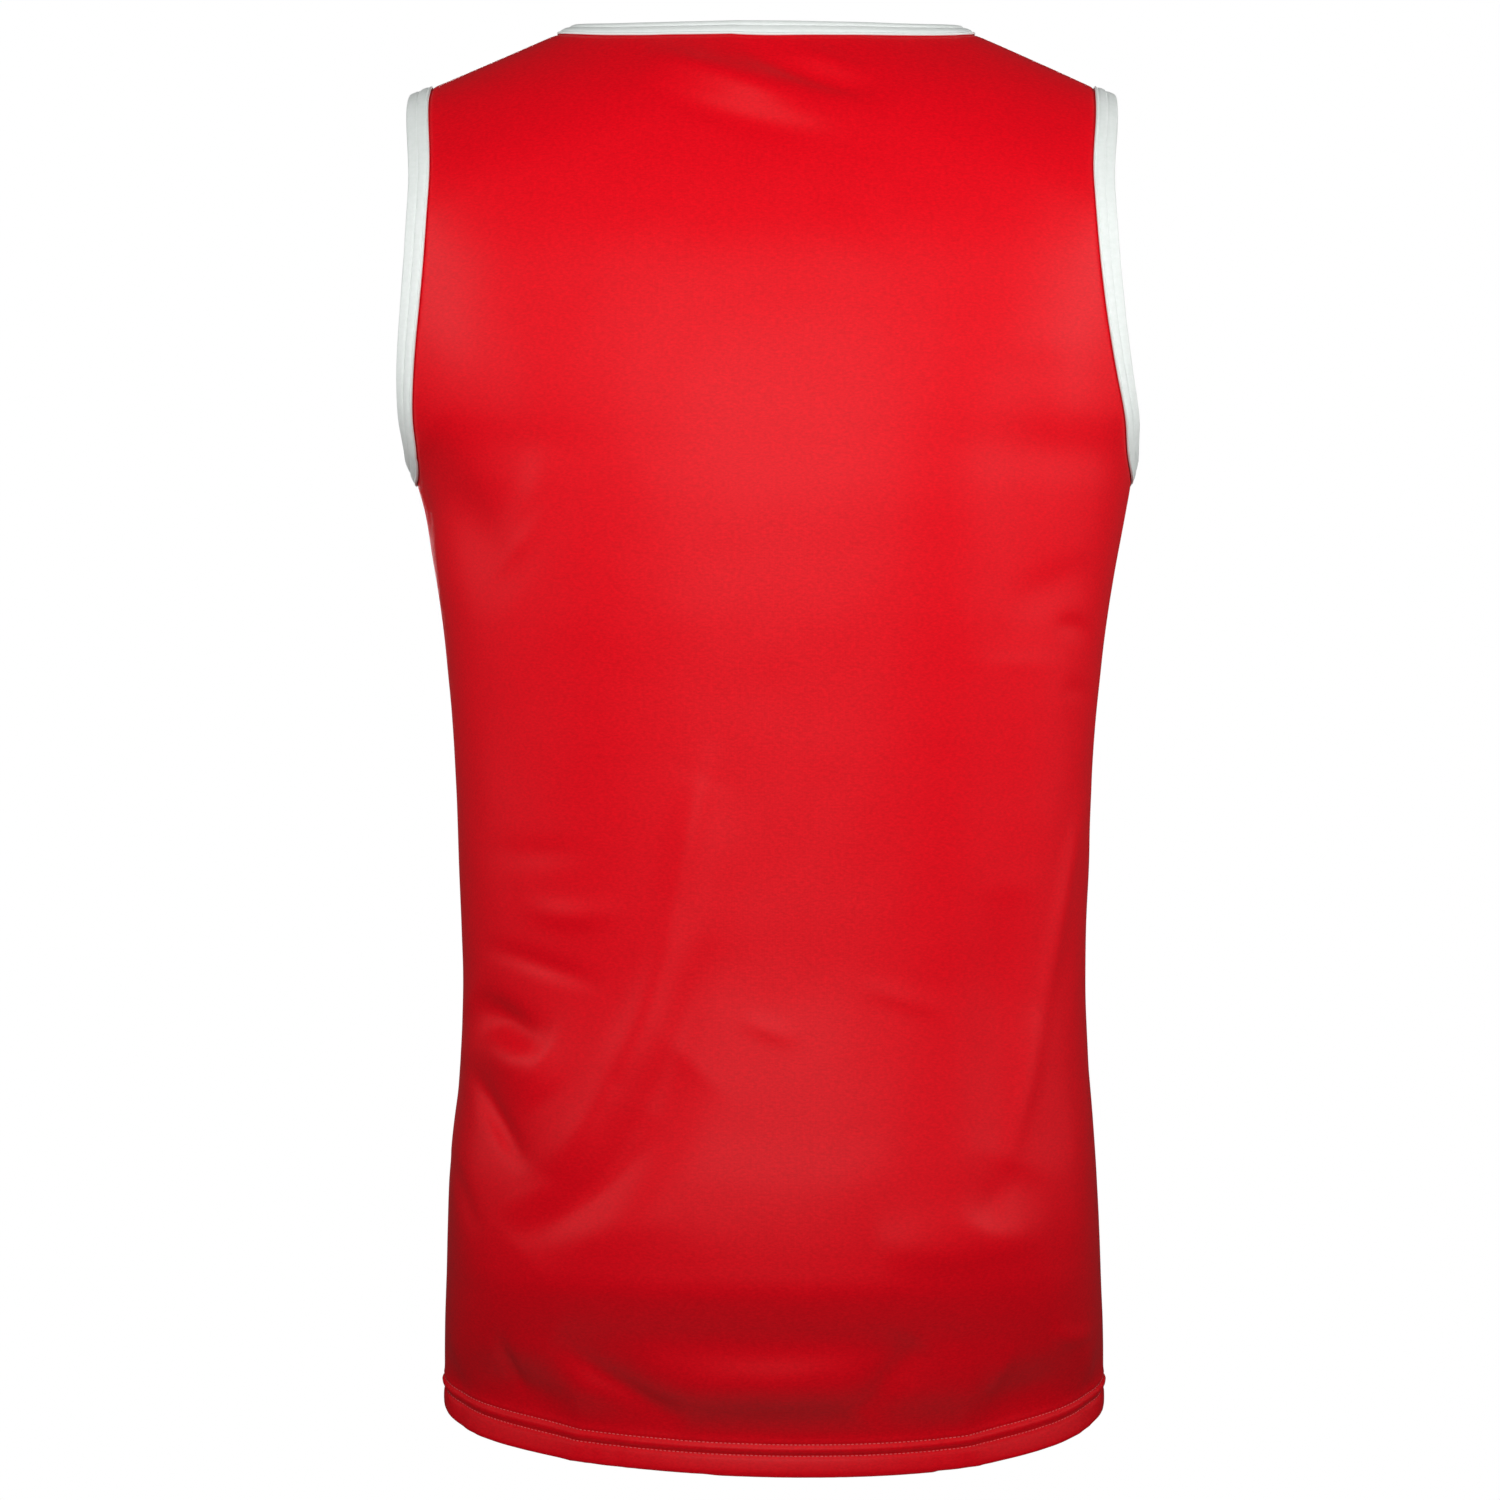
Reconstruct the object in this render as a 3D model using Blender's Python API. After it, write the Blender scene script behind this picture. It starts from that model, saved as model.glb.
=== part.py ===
"""Sleeveless boxing singlet in its worn shape, with nobody in it.

Lengths are millimetres and become metres when a mesh is made. +Z is up, the front faces -Y and the
wearer's left is +X. The origin lies midway between the two shoulder straps, level with where they bear
on the shoulders. The form is worked out straight and symmetric first, and leaned as its last step.
"""
import bpy
import bmesh
import numpy as np
from mathutils import Vector

METRES = 0.001

# Cloth, seams and bindings
CLOTH = 1.2             # wall of a single layer of knit
HEM_WALL = 2.1          # wall where the hem is turned up and stitched down
SEAM_GAP = 0.3          # clearance between neighbouring pieces
BINDING_WIDTH = {"neck": 10.2, "arm": 12.3}   # from the finished rim to the binding's free edges
BINDING_WALL = 1.0      # each leg of the folded binding
BINDING_BEND = 1.6      # how far in from the rim each leg starts to bend over
RAW_EDGE = BINDING_WALL + SEAM_GAP   # from the finished rim to the panel's raw edge inside the fold

# Shoulder line: a ridge that slopes down and out on both sides
SHOULDER_HEIGHT = 12.6
SHOULDER_HALF = 104.5   # half width where the ridge has that height
SHOULDER_SLOPE = 0.445
SHOULDER_ROUND = 30.0   # how softly the two slopes would meet above the neck

# Level sections are superellipses that close over towards the shoulder line, and grow rounder at the hem
POWER = 2.4
CLOSURE = 75.0          # height below the ridge over which a section closes
CLOSURE_POWER = 2.0     # how square the closing curve is

# lean moves a level sideways and middle moves its side seams to the back
COLUMNS = ("height", "half_width", "back", "front", "lean", "middle", "power")
SECTIONS = np.array([
    (-690, 164.0, 84.0, 106.0, -2.0, 0.0, 2.0),
    (-665, 164.6, 88.5, 107.0, -2.0, 0.0, 2.05),
    (-650, 164.6, 94.5, 107.5, -2.0, 0.0, 2.1),
    (-638, 164.5, 98.0, 108.0, -2.0, 0.0, 2.14),
    (-624, 164.0, 101.5, 108.8, -2.0, 0.0, 2.2),
    (-610, 163.3, 108.0, 109.5, -2.0, 0.0, 2.26),
    (-599, 162.7, 112.0, 109.8, -2.0, 0.0, 2.31),
    (-585, 162.0, 113.0, 110.0, -2.0, 0.0, 2.36),
    (-550, 160.0, 112.0, 110.0, -2.0, 0.0, 2.4),
    (-520, 158.1, 108.0, 110.0, -2.0, 0.0, 2.4),
    (-490, 156.3, 104.5, 110.0, -2.0, 0.0, 2.4),
    (-460, 155.3, 102.0, 110.0, -2.0, 0.0, 2.4),
    (-430, 155.7, 102.5, 111.0, -2.0, 0.0, 2.4),
    (-400, 156.7, 104.0, 112.5, -2.0, 0.0, 2.4),
    (-350, 158.7, 107.5, 116.5, -2.0, 0.0, 2.4),
    (-310, 161.8, 111.5, 120.5, -2.0, 0.0, 2.4),
    (-280, 165.2, 115.0, 122.5, -2.0, 0.0, 2.4),
    (-250, 170.0, 117.0, 124.5, -2.0, 0.2, 2.4),
    (-217, 176.0, 118.0, 126.0, -2.0, 1.0, 2.4),
    (-198, 181.3, 117.0, 126.5, -0.6, 1.7, 2.4),
    (-180, 190.6, 116.0, 126.5, 0.9, 2.4, 2.4),
    (-160, 197.4, 113.5, 125.0, 2.6, 3.5, 2.4),
    (-127, 203.8, 107.5, 120.5, 4.0, 5.2, 2.4),
    (-100, 206.0, 101.0, 115.0, 4.3, 6.8, 2.4),
    (-70, 206.0, 89.5, 104.5, 4.3, 8.6, 2.4),
    (-40, 205.0, 75.0, 90.5, 4.2, 10.6, 2.4),
    (-20, 204.4, 65.5, 80.0, 3.8, 11.5, 2.4),
    (0, 204.2, 54.5, 70.0, 2.4, 12.0, 2.4),
    (20, 204.2, 43.0, 62.0, 1.8, 12.0, 2.4),
])

# Neck opening, at its finished rim
NECK_HALF = 94.2
NECK = {
    "back": {"drop": 3.9, "power": 2.0},      # how far its middle lies below its ends, and how square it is
    "front": {"drop": 109.6, "power": 2.3},
}
NECK_MIDDLE = (0.0, 0.0, 60.0)                # a point in the opening, which the cloth lies away from

# Armhole, at its finished rim. Angles are in degrees round from the side seam towards the panel's centre
STRAP_END = 175.25      # half width over the strap ends
UNDERARM = -198.0
ARMHOLE = {
    # the height of its deepest cut, the angle there, and how square the curve is
    "back": {"deepest": -70.0, "angle": 36.8, "power": 2.2},
    "front": {"deepest": -100.0, "angle": 44.0, "power": 1.9},
}
ARMHOLE_MIDDLE = (205.0, 0.0, -100.0)

# Bottom edge: lower at the centre of each panel than at the side seams
HEM_HEIGHT = -666.8
HEM_DROP = 24.1
HEM_CURVE = 0.84
HEM_TILT = 0.02         # how much lower it hangs towards the wearer's right, over the panel's middle
HEM_TILT_REACH = 100.0  # height over which the tilt fades out

# The cloth draws in above its bottom edge, and the edge kicks out again
HEM_TUCK = 5.2
HEM_KICK = 1.6
TUCK_HEIGHT = 14.0
TUCK_REACH = 20.0

# Rows of the turned hem, each a height above the bottom edge: cloth raised, wall inside
HEM = (
    (0.0, -0.3, 1.5),
    (2.0, 0.3, HEM_WALL),
    (8.6, 0.4, HEM_WALL),
    (10.0, -0.2, HEM_WALL),      # lower stitch line
    (12.8, 0.9, HEM_WALL),       # tunnel between the two needles
    (15.6, -0.2, HEM_WALL),      # upper stitch line
    (17.5, 0.0, CLOTH),
    (24.0, 0.0, CLOTH),
)

# How finely the panels are divided
ROWS_LOWER = 17         # below the waist, where the cloth is creased most
LOWER_SHARE = 0.46      # of the height between hem and underarm
ROWS_UPPER = 9
ROWS_ARMHOLE = 18
HALF_COLUMNS = {"back": 16, "front": 14}
NECK_SHARE = 0.66       # of the half columns that end at the neck
SIDE_CROWDING = 0.25    # how much closer the columns lie at the side seam
RIM_CROWDING = 0.45     # how much closer the armhole's rows lie at its two ends
UNDERARM_DIP = 24.0     # rows run down from the underarm corner by this much
DENSE = 240             # steps in a curve before it is divided
CORE_TOP = -100.0       # outward is away from the vertical axis below this height, or from this point of it

# Large soft folds of the cloth, raised or sunk along a bowed line between two places of x and z
FOLD_COLUMNS = ("start_x", "start_z", "end_x", "end_z", "bow", "height", "half_width")
FOLDS = {
    "back": (
        (62, -5, -38, -48, -5, 2.2, 12),
        (20, 2, -60, -30, -4, -2.0, 11),
        (174, -200, 124, -246, 5, -4.6, 19),
        (-122, -150, -124, -300, 2, -3.0, 24),
        (148, -466, 108, -486, 2, -4.5, 13),
        (136, -478, 108, -508, 0, 2.5, 14),
        (147, -490, 116, -554, 0, -2.8, 14),
        (31, -356, 107, -546, -22, 2.8, 16),
        (38, -492, 121, -580, -8, -4.0, 18),
        (-114, -410, -109, -556, 3, -2.5, 13),
        (-116, -540, -104, -570, 0, -1.6, 16),
        (-137, -575, -50, -578, 4, 2.4, 14),
        (66, -646, -62, -643, 3, 3.2, 13),
        (104, -624, 40, -664, 3, -3.6, 12),
        (-70, -624, -44, -662, 0, -3.2, 12),
        (163, -660, 96, -674, 0, -5.0, 24),
        (-163, -656, -98, -674, 0, -5.0, 24),
    ),
    "front": (
        (-58, -102, 30, -168, 6, 2.2, 14),
        (70, -96, -14, -176, -6, -2.0, 13),
        (170, -200, 112, -250, 5, -4.5, 19),
        (-174, -202, -118, -262, -5, -4.0, 18),
        (-144, -448, -96, -486, 4, -4.0, 13),
        (-138, -486, -92, -540, -5, -4.5, 14),
        (140, -470, 88, -500, -4, -3.8, 13),
        (-24, -376, -96, -556, 18, 2.6, 16),
        (116, -420, 104, -552, -4, -2.6, 14),
        (120, -582, -84, -590, 5, 2.4, 14),
        (-110, -606, 96, -612, 6, -2.6, 14),
        (88, -630, 34, -660, 3, -3.2, 12),
        (-70, -628, -38, -662, 0, -3.0, 12),
        (162, -658, 100, -672, 0, -4.5, 24),
        (-162, -660, -98, -674, 0, -4.5, 24),
    ),
}

FOLD_ENDS = 0.7         # how softly a fold rises from its two ends: lower is more sudden
SEAM_CALM = 25.0        # the folds fade out over this distance from the seams between front and back

COLOURS = {"red": (0.74, 0.028, 0.036, 1.0), "white": (0.82, 0.84, 0.83, 1.0)}


def section(name, height):
    """One column of SECTIONS at any height, as a smooth curve through its rows."""
    heights = SECTIONS[:, 0]
    values = SECTIONS[:, COLUMNS.index(name)]
    slopes = np.gradient(values, heights)
    row = np.clip(np.searchsorted(heights, height) - 1, 0, len(heights) - 2)
    step = heights[row + 1] - heights[row]
    part = np.clip((height - heights[row]) / step, 0.0, 1.0)
    rest = 1.0 - part
    ends = values[row] * rest ** 2 * (1 + 2 * part) + values[row + 1] * part ** 2 * (1 + 2 * rest)
    return ends + step * (slopes[row] * part * rest ** 2 - slopes[row + 1] * part ** 2 * rest)


def ridge(across):
    """Height of the shoulder line at a distance from the middle."""
    run = np.sqrt(across ** 2 + SHOULDER_ROUND ** 2) - np.hypot(SHOULDER_HALF, SHOULDER_ROUND)
    return SHOULDER_HEIGHT - SHOULDER_SLOPE * run


def closure(across, height):
    """Share of the full depth to the POWER that the shell has under the shoulder line."""
    below = ridge(across) - height
    open_part = 1.0 - np.maximum(0.0, 1.0 - below / CLOSURE) ** CLOSURE_POWER
    return np.sign(open_part) * np.abs(open_part) ** (POWER / CLOSURE_POWER)


def shell_value(points):
    """Zero on the shell, negative inside it."""
    across, height = np.abs(points[..., 0]), points[..., 2]
    depth = np.where(points[..., 1] > 0, section("back", height), section("front", height))
    power = section("power", height)
    level = 1.0 - (across / section("half_width", height)) ** power
    return (np.abs(points[..., 1]) / depth) ** power - level * closure(across, height)


def slope(points):
    """Gradient of shell_value."""
    reach = 0.02
    parts = [shell_value(points + move) - shell_value(points - move) for move in np.eye(3) * reach]
    return np.stack(parts, axis=-1) / (2 * reach)


def outward(points):
    """Unit normals of the shell."""
    away = slope(points)
    return away / np.linalg.norm(away, axis=-1, keepdims=True)


def onto_shell(points):
    """The points moved straight onto the shell."""
    for _ in range(6):
        away = slope(points)
        size = np.sum(away ** 2, axis=-1, keepdims=True)
        points = points - away * shell_value(points)[..., None] / size
    return points


def shell_point(side, angle, height):
    """Point of the left half at an angle from the side seam."""
    power = section("power", height)
    across = section("half_width", height) * np.cos(angle) ** (2 / power)
    share = np.sin(angle) ** 2 * np.maximum(closure(across, height), 0.0)
    deep = section(side, height) * share ** (1 / power)
    return np.stack([across, SIGN[side] * deep, height], axis=-1)


SIGN = {"back": 1.0, "front": -1.0}


def angle_of(side, points):
    """Angle from the side seam of points on the shell's left half."""
    height = points[..., 2]
    power = section("power", height)
    wide = (np.abs(points[..., 0]) / section("half_width", height)) ** power
    shut = np.maximum(closure(points[..., 0], height), 1e-9)
    deep = (np.abs(points[..., 1]) / section(side, height)) ** power / shut
    from_width = np.arccos(np.sqrt(np.clip(wide, 0.0, 1.0)))
    return np.where(shut > 0.5, np.arctan2(np.sqrt(deep), np.sqrt(wide)), from_width)


def fall_of(points):
    """Square root of the distance under the shoulder line."""
    return np.sqrt(np.maximum(ridge(points[..., 0]) - points[..., 2], 0.0))


def height_at(angle, fall):
    """Height of the shell point that has this angle and this fall."""
    height = ridge(STRAP_END * np.cos(angle)) - fall ** 2
    for _ in range(8):
        across = section("half_width", height) * np.cos(angle) ** (2 / POWER)
        height = ridge(across) - fall ** 2
    return height


def lengths(curve):
    """Distance along a curve of points at each of them, as a share of the whole."""
    steps = np.linalg.norm(np.diff(curve, axis=0), axis=-1)
    along = np.concatenate([[0.0], np.cumsum(steps)])
    return along / along[-1]


def at_shares(curve, along, shares):
    """Values of a curve, or of a table beside it, where its length has the given shares."""
    return np.stack([np.interp(shares, along, curve[:, k]) for k in range(curve.shape[1])], axis=-1)


def neck_rim(side):
    """Finished rim of one side of the neck, from the centre to the shoulder line."""
    drop, power = NECK[side]["drop"], NECK[side]["power"]
    turn = np.linspace(np.pi / 2, 0.0, DENSE + 1)
    across = NECK_HALF * np.cos(turn) ** (2 / power)
    across[0] = 0.0
    height = ridge(NECK_HALF) - drop * np.sin(turn) ** (2 / power)
    shut = np.maximum(closure(across, height), 0.0)
    level = 1.0 - (across / section("half_width", height)) ** POWER
    deep = section(side, height) * (level * shut) ** (1 / POWER)
    deep[-1] = 0.0
    return np.stack([across, SIGN[side] * deep, height], axis=-1)


def armhole_rim(side):
    """Finished rim of one side of the left armhole, from the side seam to the shoulder line."""
    cut = ARMHOLE[side]
    deepest, angle, power = cut["deepest"], np.radians(cut["angle"]), cut["power"]
    top = ridge(STRAP_END)
    tip = np.arccos((STRAP_END / section("half_width", np.array([top]))[0]) ** (POWER / 2))
    step = np.linspace(0.0, 1.0, DENSE + 1)
    share = np.where(step < 0.5, 0.5 * (2 * step) ** 2, 1.0 - 0.5 * (2 - 2 * step) ** POWER)
    height = UNDERARM + (top - UNDERARM) * share
    low = np.clip((deepest - height) / (deepest - UNDERARM), 0.0, 1.0)
    high = np.clip((height - deepest) / (top - deepest), 0.0, 1.0)
    angles = angle * (1.0 - low ** power) ** (1 / power) + (tip - angle) * high ** 2 * (3 - 2 * high)
    rim = shell_point(side, angles, height)
    rim[[0, -1], 1] = 0.0
    return rim


def seam_beside(rim, width, opening):
    """The binding's free edge: the rim moved by its width over the shell, away from the opening's middle.

    A rim starts on the middle plane or on the side seam, and it ends on the shoulder line.
    """
    along = np.gradient(rim, axis=0)
    along[0] = (1.0, 0.0, 0.0) if rim[0, 0] == 0.0 else (0.0, 1.0, 0.0)
    along[-1] = (0.0, 1.0, 0.0)
    across = np.cross(outward(rim), along)
    across *= np.sign(np.sum(across * (rim - opening), axis=-1, keepdims=True))
    across /= np.linalg.norm(across, axis=-1, keepdims=True)
    seam = onto_shell(rim + across * width)
    seam[-1, 1] = 0.0
    seam[0, 0 if rim[0, 0] == 0.0 else 1] = 0.0
    return seam


def column_shares(side):
    """Places of the half columns from the centre to the side seam, closer towards the side."""
    even = np.linspace(0.0, 1.0, HALF_COLUMNS[side] + 1)
    return (1.0 + SIDE_CROWDING) * even - SIDE_CROWDING * even ** 2


def level_row(side, angles, heights):
    """One row of the left half, from the centre to the side seam, along a course of angles and heights."""
    along = lengths(shell_point(side, angles, heights))
    shares = column_shares(side)
    return shell_point(side, np.interp(shares, along, angles), np.interp(shares, along, heights))


def body_rows(side):
    """Rows of the left half from the bottom edge to the underarm."""
    angles = np.linspace(np.pi / 2, 0.0, DENSE + 1)
    top = np.full(DENSE + 1, UNDERARM - BINDING_WIDTH["arm"])
    level = shell_point(side, angles, top)
    from_side = (1.0 - lengths(level)) * np.sum(np.linalg.norm(np.diff(level, axis=0), axis=-1))
    top -= UNDERARM_DIP * (1.0 - np.exp(-from_side / UNDERARM_DIP))
    bottom = HEM_HEIGHT - HEM_DROP * np.sin(angles) ** (2 / POWER * HEM_CURVE)
    rows = [level_row(side, angles, bottom + above) for above, _, _ in HEM]
    lower = np.linspace(0.0, LOWER_SHARE, ROWS_LOWER + 1)[1:]
    upper = np.linspace(LOWER_SHARE, 1.0, ROWS_UPPER + 1)[1:]
    hem_top = bottom + HEM[-1][0]
    rows += [level_row(side, angles, hem_top + (top - hem_top) * share) for share in (*lower, *upper)]
    return np.array(rows)


def armhole_rows(side, base, neck_seam, arm_rim, arm_seam):
    """Rows of the left half from the underarm to the neck and shoulder, and the armhole rim beside them."""
    shares = column_shares(side)
    ending = round(NECK_SHARE * HALF_COLUMNS[side])
    neck = at_shares(neck_seam, lengths(neck_seam), np.linspace(0.0, 1.0, ending + 1))
    across = np.linspace(neck[-1, 0], arm_seam[-1, 0], HALF_COLUMNS[side] - ending + 1)[1:]
    shoulder = np.stack([across, np.zeros_like(across), ridge(across)], axis=-1)

    def plane(points):
        return np.stack([angle_of(side, points), fall_of(points)], axis=-1)

    low, high, edge = plane(base), plane(np.concatenate([neck, shoulder])), plane(arm_seam)
    rise = lengths(arm_seam)
    centre = low[0] + (high[0] - low[0]) * rise[:, None]
    t, s = rise[:, None, None], shares[None, :, None]
    patch = (1 - t) * low + t * high + (1 - s) * centre[:, None] + s * edge[:, None]
    patch -= (1 - s) * (1 - t) * low[0] + s * (1 - t) * low[-1] + (1 - s) * t * high[0] + s * t * high[-1]
    angles, falls = np.clip(patch[..., 0], 0.0, np.pi / 2), np.maximum(patch[..., 1], 0.0)
    dense = shell_point(side, angles, height_at(angles, falls))
    dense[:, -1] = arm_seam
    even = np.linspace(0.0, 1.0, ROWS_ARMHOLE + 1)
    levels = even - RIM_CROWDING * np.sin(2 * np.pi * even) / (2 * np.pi)
    columns = [at_shares(dense[:, k], lengths(dense[:, k]), levels) for k in range(len(shares))]
    return np.stack(columns, axis=1), neck, at_shares(arm_rim, rise, levels)


def hem_level(side, points):
    """Height of the bottom edge under the points."""
    drop = HEM_DROP * np.sin(angle_of(side, points)) ** (2 / POWER * HEM_CURVE)
    return HEM_HEIGHT - drop + HEM_TILT * points[..., 0] * np.sin(angle_of(side, points)) ** 2


def fold_height(side, points):
    """How far the cloth's folds raise the shell at the points; seams between panels stay as they are."""
    x = points[..., 0] + section("lean", points[..., 2])
    z = points[..., 2]
    total = np.zeros_like(x)
    for row in FOLDS[side]:
        fold = dict(zip(FOLD_COLUMNS, row))
        from_x, from_z = x - fold["start_x"], z - fold["start_z"]
        run_x, run_z = fold["end_x"] - fold["start_x"], fold["end_z"] - fold["start_z"]
        size = np.hypot(run_x, run_z)
        part = np.clip((from_x * run_x + from_z * run_z) / size ** 2, 0.0, 1.0)
        off = (from_z * run_x - from_x * run_z) / size - 4 * fold["bow"] * part * (1 - part)
        total += fold["height"] * np.sin(np.pi * part) ** FOLD_ENDS * np.exp(-(off / fold["half_width"]) ** 2)
    above = z - hem_level(side, points)
    total += HEM_KICK * np.exp(-(above / TUCK_HEIGHT) ** 2)
    total -= HEM_TUCK * np.exp(-((above - TUCK_HEIGHT) / TUCK_REACH) ** 2)
    fade = np.clip(np.abs(points[..., 1]) / SEAM_CALM, 0.0, 1.0)
    return total * fade ** 2 * (3 - 2 * fade)


def creased(side, points):
    """The points on the folded cloth, and the shell's normals there."""
    normals = outward(points)
    return points + normals * fold_height(side, points)[..., None], normals


def between(start, end, share):
    """A part of the way from one array of points to another."""
    return start + (end - start) * share


def lap(rim, seam, share, up):
    """Points a share of the way in from the finished rim, and a distance up from the cloth's outer face."""
    normals = between(rim[1], seam[1], share)
    normals = normals / np.linalg.norm(normals, axis=-1, keepdims=True)
    return between(rim[0], seam[0], share) + normals * up


def mirrored(points):
    """The right half's copy of points on the left half."""
    return points * (-1.0, 1.0, 1.0)


def leaned(points):
    """Final places in metres: every level moved by its lean and its middle."""
    height = points[..., 2]
    move = np.stack([section("lean", height), section("middle", height), np.zeros_like(height)], axis=-1)
    return (points + move) * METRES


def tilted(side, points):
    """The points moved up or down by the hem's tilt, which is none at the side seams."""
    moved = points.copy()
    depth = np.abs(points[..., 1]) / section(side, points[..., 2])
    fade = np.clip(1.0 - (points[..., 2] - HEM_HEIGHT) / HEM_TILT_REACH, 0.0, 1.0)
    moved[..., 2] += HEM_TILT * points[..., 0] * depth ** 2 * fade
    return moved


class Panel:
    """One body panel's rows of points, and the rims and seam lines of its openings."""

    def __init__(self, side):
        self.side = side
        rims = {"neck": neck_rim(side), "arm": armhole_rim(side)}
        neck_seam = seam_beside(rims["neck"], BINDING_WIDTH["neck"], NECK_MIDDLE)
        arm_seam = seam_beside(rims["arm"], BINDING_WIDTH["arm"], ARMHOLE_MIDDLE)
        body = body_rows(side)
        upper, neck, arm = armhole_rows(side, body[-1], neck_seam, rims["arm"], arm_seam)
        half = np.concatenate([body, upper[1:]])
        self.ending = len(neck) - 1
        neck_top = at_shares(rims["neck"], lengths(neck_seam), np.linspace(0.0, 1.0, self.ending + 1))
        self.sheet = tilted(side, np.concatenate([mirrored(half[:, :0:-1]), half], axis=1))
        self.neck = np.concatenate([mirrored(neck_top[:0:-1]), neck_top])
        self.arms = {"left": arm, "right": mirrored(arm)}
        self.first_arm_row = len(body) - 1

    def part_gap(self, points):
        """The points kept half a gap from the plane of the seams between front and back."""
        moved = points.copy()
        near = np.abs(points[..., 1]) < SEAM_GAP / 2
        moved[..., 1] = np.where(near, SIGN[self.side] * SEAM_GAP / 2, points[..., 1])
        return moved

    def edge(self, name):
        """Rim and seam line of one opening, each as points and normals."""
        middle = self.sheet.shape[1] // 2
        if name == "neck":
            rim = self.neck
            seam = self.sheet[-1, middle - self.ending: middle + self.ending + 1]
        else:
            rim = self.arms[name]
            seam = self.sheet[self.first_arm_row:, -1 if name == "left" else 0]
        return creased(self.side, rim), creased(self.side, seam)

    def skins(self):
        """Outer and inner points of the wall, rows by columns, not a number where there is no cloth."""
        points, normals = creased(self.side, self.sheet)
        rows, columns = points.shape[:2]
        raised, wall = np.zeros(rows), np.full(rows, CLOTH)
        for row, (_, lift, thick) in enumerate(HEM):
            raised[row], wall[row] = lift, thick
        outer = np.full((rows + 1, columns + 2, 3), np.nan)
        inner = outer.copy()
        outer[:-1, 1:-1] = points + normals * raised[:, None, None]
        inner[:-1, 1:-1] = points - normals * wall[:, None, None]
        first, middle = self.first_arm_row, columns // 2 + 1
        places = {
            "left": (slice(first, rows), columns + 1),
            "right": (slice(first, rows), 0),
            "neck": (rows, slice(middle - self.ending, middle + self.ending + 1)),
        }
        for name, place in places.items():
            rim, seam = self.edge(name)
            share = RAW_EDGE / BINDING_WIDTH["neck" if name == "neck" else "arm"]
            outer[place] = lap(rim, seam, share, 0.0)
            inner[place] = lap(rim, seam, share, -CLOTH)
        return self.part_gap(outer), self.part_gap(inner)


def grid_mesh(rows, columns):
    """A flat grid whose points remember their row and column in a layer called place."""
    mesh = bmesh.new()
    bmesh.ops.create_grid(mesh, x_segments=columns - 1, y_segments=rows - 1, size=1.0)
    place = mesh.verts.layers.int.new("place")
    for point in mesh.verts:
        column = round((point.co.x + 1) / 2 * (columns - 1))
        row = round((point.co.y + 1) / 2 * (rows - 1))
        point[place] = row * columns + column
    return mesh, place


def split_outward(mesh):
    """Cuts each four-sided face along the diagonal that stands further out, so parallel faces are cut alike."""
    mesh.normal_update()
    for face in mesh.faces[:]:
        first, second, third, fourth = (point.co for point in face.verts)
        middle = face.calc_center_median()
        out = middle - Vector((0.0, 0.0, min(middle.z, CORE_TOP * METRES)))
        bulge = (first + third - second - fourth).dot(face.normal) * out.dot(face.normal)
        start = 0 if bulge > 0 else 1
        bmesh.utils.face_split(face, face.verts[start], face.verts[start + 2])


def add_object(name, mesh, colour, roughness):
    """A smooth shaded object with its own material, under the garment's empty."""
    split_outward(mesh)
    bmesh.ops.recalc_face_normals(mesh, faces=mesh.faces)
    data = bpy.data.meshes.new(name)
    mesh.to_mesh(data)
    mesh.free()
    data.shade_smooth()
    data.set_sharp_from_angle(angle=np.radians(50))
    material = bpy.data.materials.new(name)
    material.use_nodes = True
    surface = material.node_tree.nodes["Principled BSDF"]
    surface.inputs["Base Color"].default_value = COLOURS[colour]
    surface.inputs["Roughness"].default_value = roughness
    surface.inputs["Metallic"].default_value = 0.0
    data.materials.append(material)
    made = bpy.data.objects.new(name, data)
    made.parent = garment
    collection.objects.link(made)


def add_panel(name, panel):
    """One body panel: its outer skin as a cut grid, extruded to its inner skin."""
    outer, inner = panel.skins()
    rows, columns = outer.shape[:2]
    mesh, place = grid_mesh(rows, columns)
    missing = np.isnan(outer[..., 0]).ravel()
    bmesh.ops.delete(mesh, geom=[point for point in mesh.verts if missing[point[place]]], context="VERTS")
    outer, inner = (leaned(skin).reshape(-1, 3) for skin in (outer, inner))
    made = bmesh.ops.extrude_face_region(mesh, geom=mesh.faces[:])
    inside = {piece for piece in made["geom"] if isinstance(piece, bmesh.types.BMVert)}
    for point in mesh.verts:
        point.co = (inner if point in inside else outer)[point[place]]
    add_object(name, mesh, "red", 0.5)


def binding_section(width):
    """Outline of the folded binding: distance in from the rim, distance up from the cloth's outer face."""
    outside = SEAM_GAP + BINDING_WALL
    half = [
        (width, SEAM_GAP),
        (width, outside),
        (BINDING_BEND, outside),
        (BINDING_BEND / 4, SEAM_GAP + 0.1 * BINDING_WALL),
        (0.0, -CLOTH / 6),
    ]
    lower = [(inward, -CLOTH - up) for inward, up in reversed(half)]
    return half + lower + [(BINDING_WALL, -CLOTH - SEAM_GAP), (BINDING_WALL, SEAM_GAP)]


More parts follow.
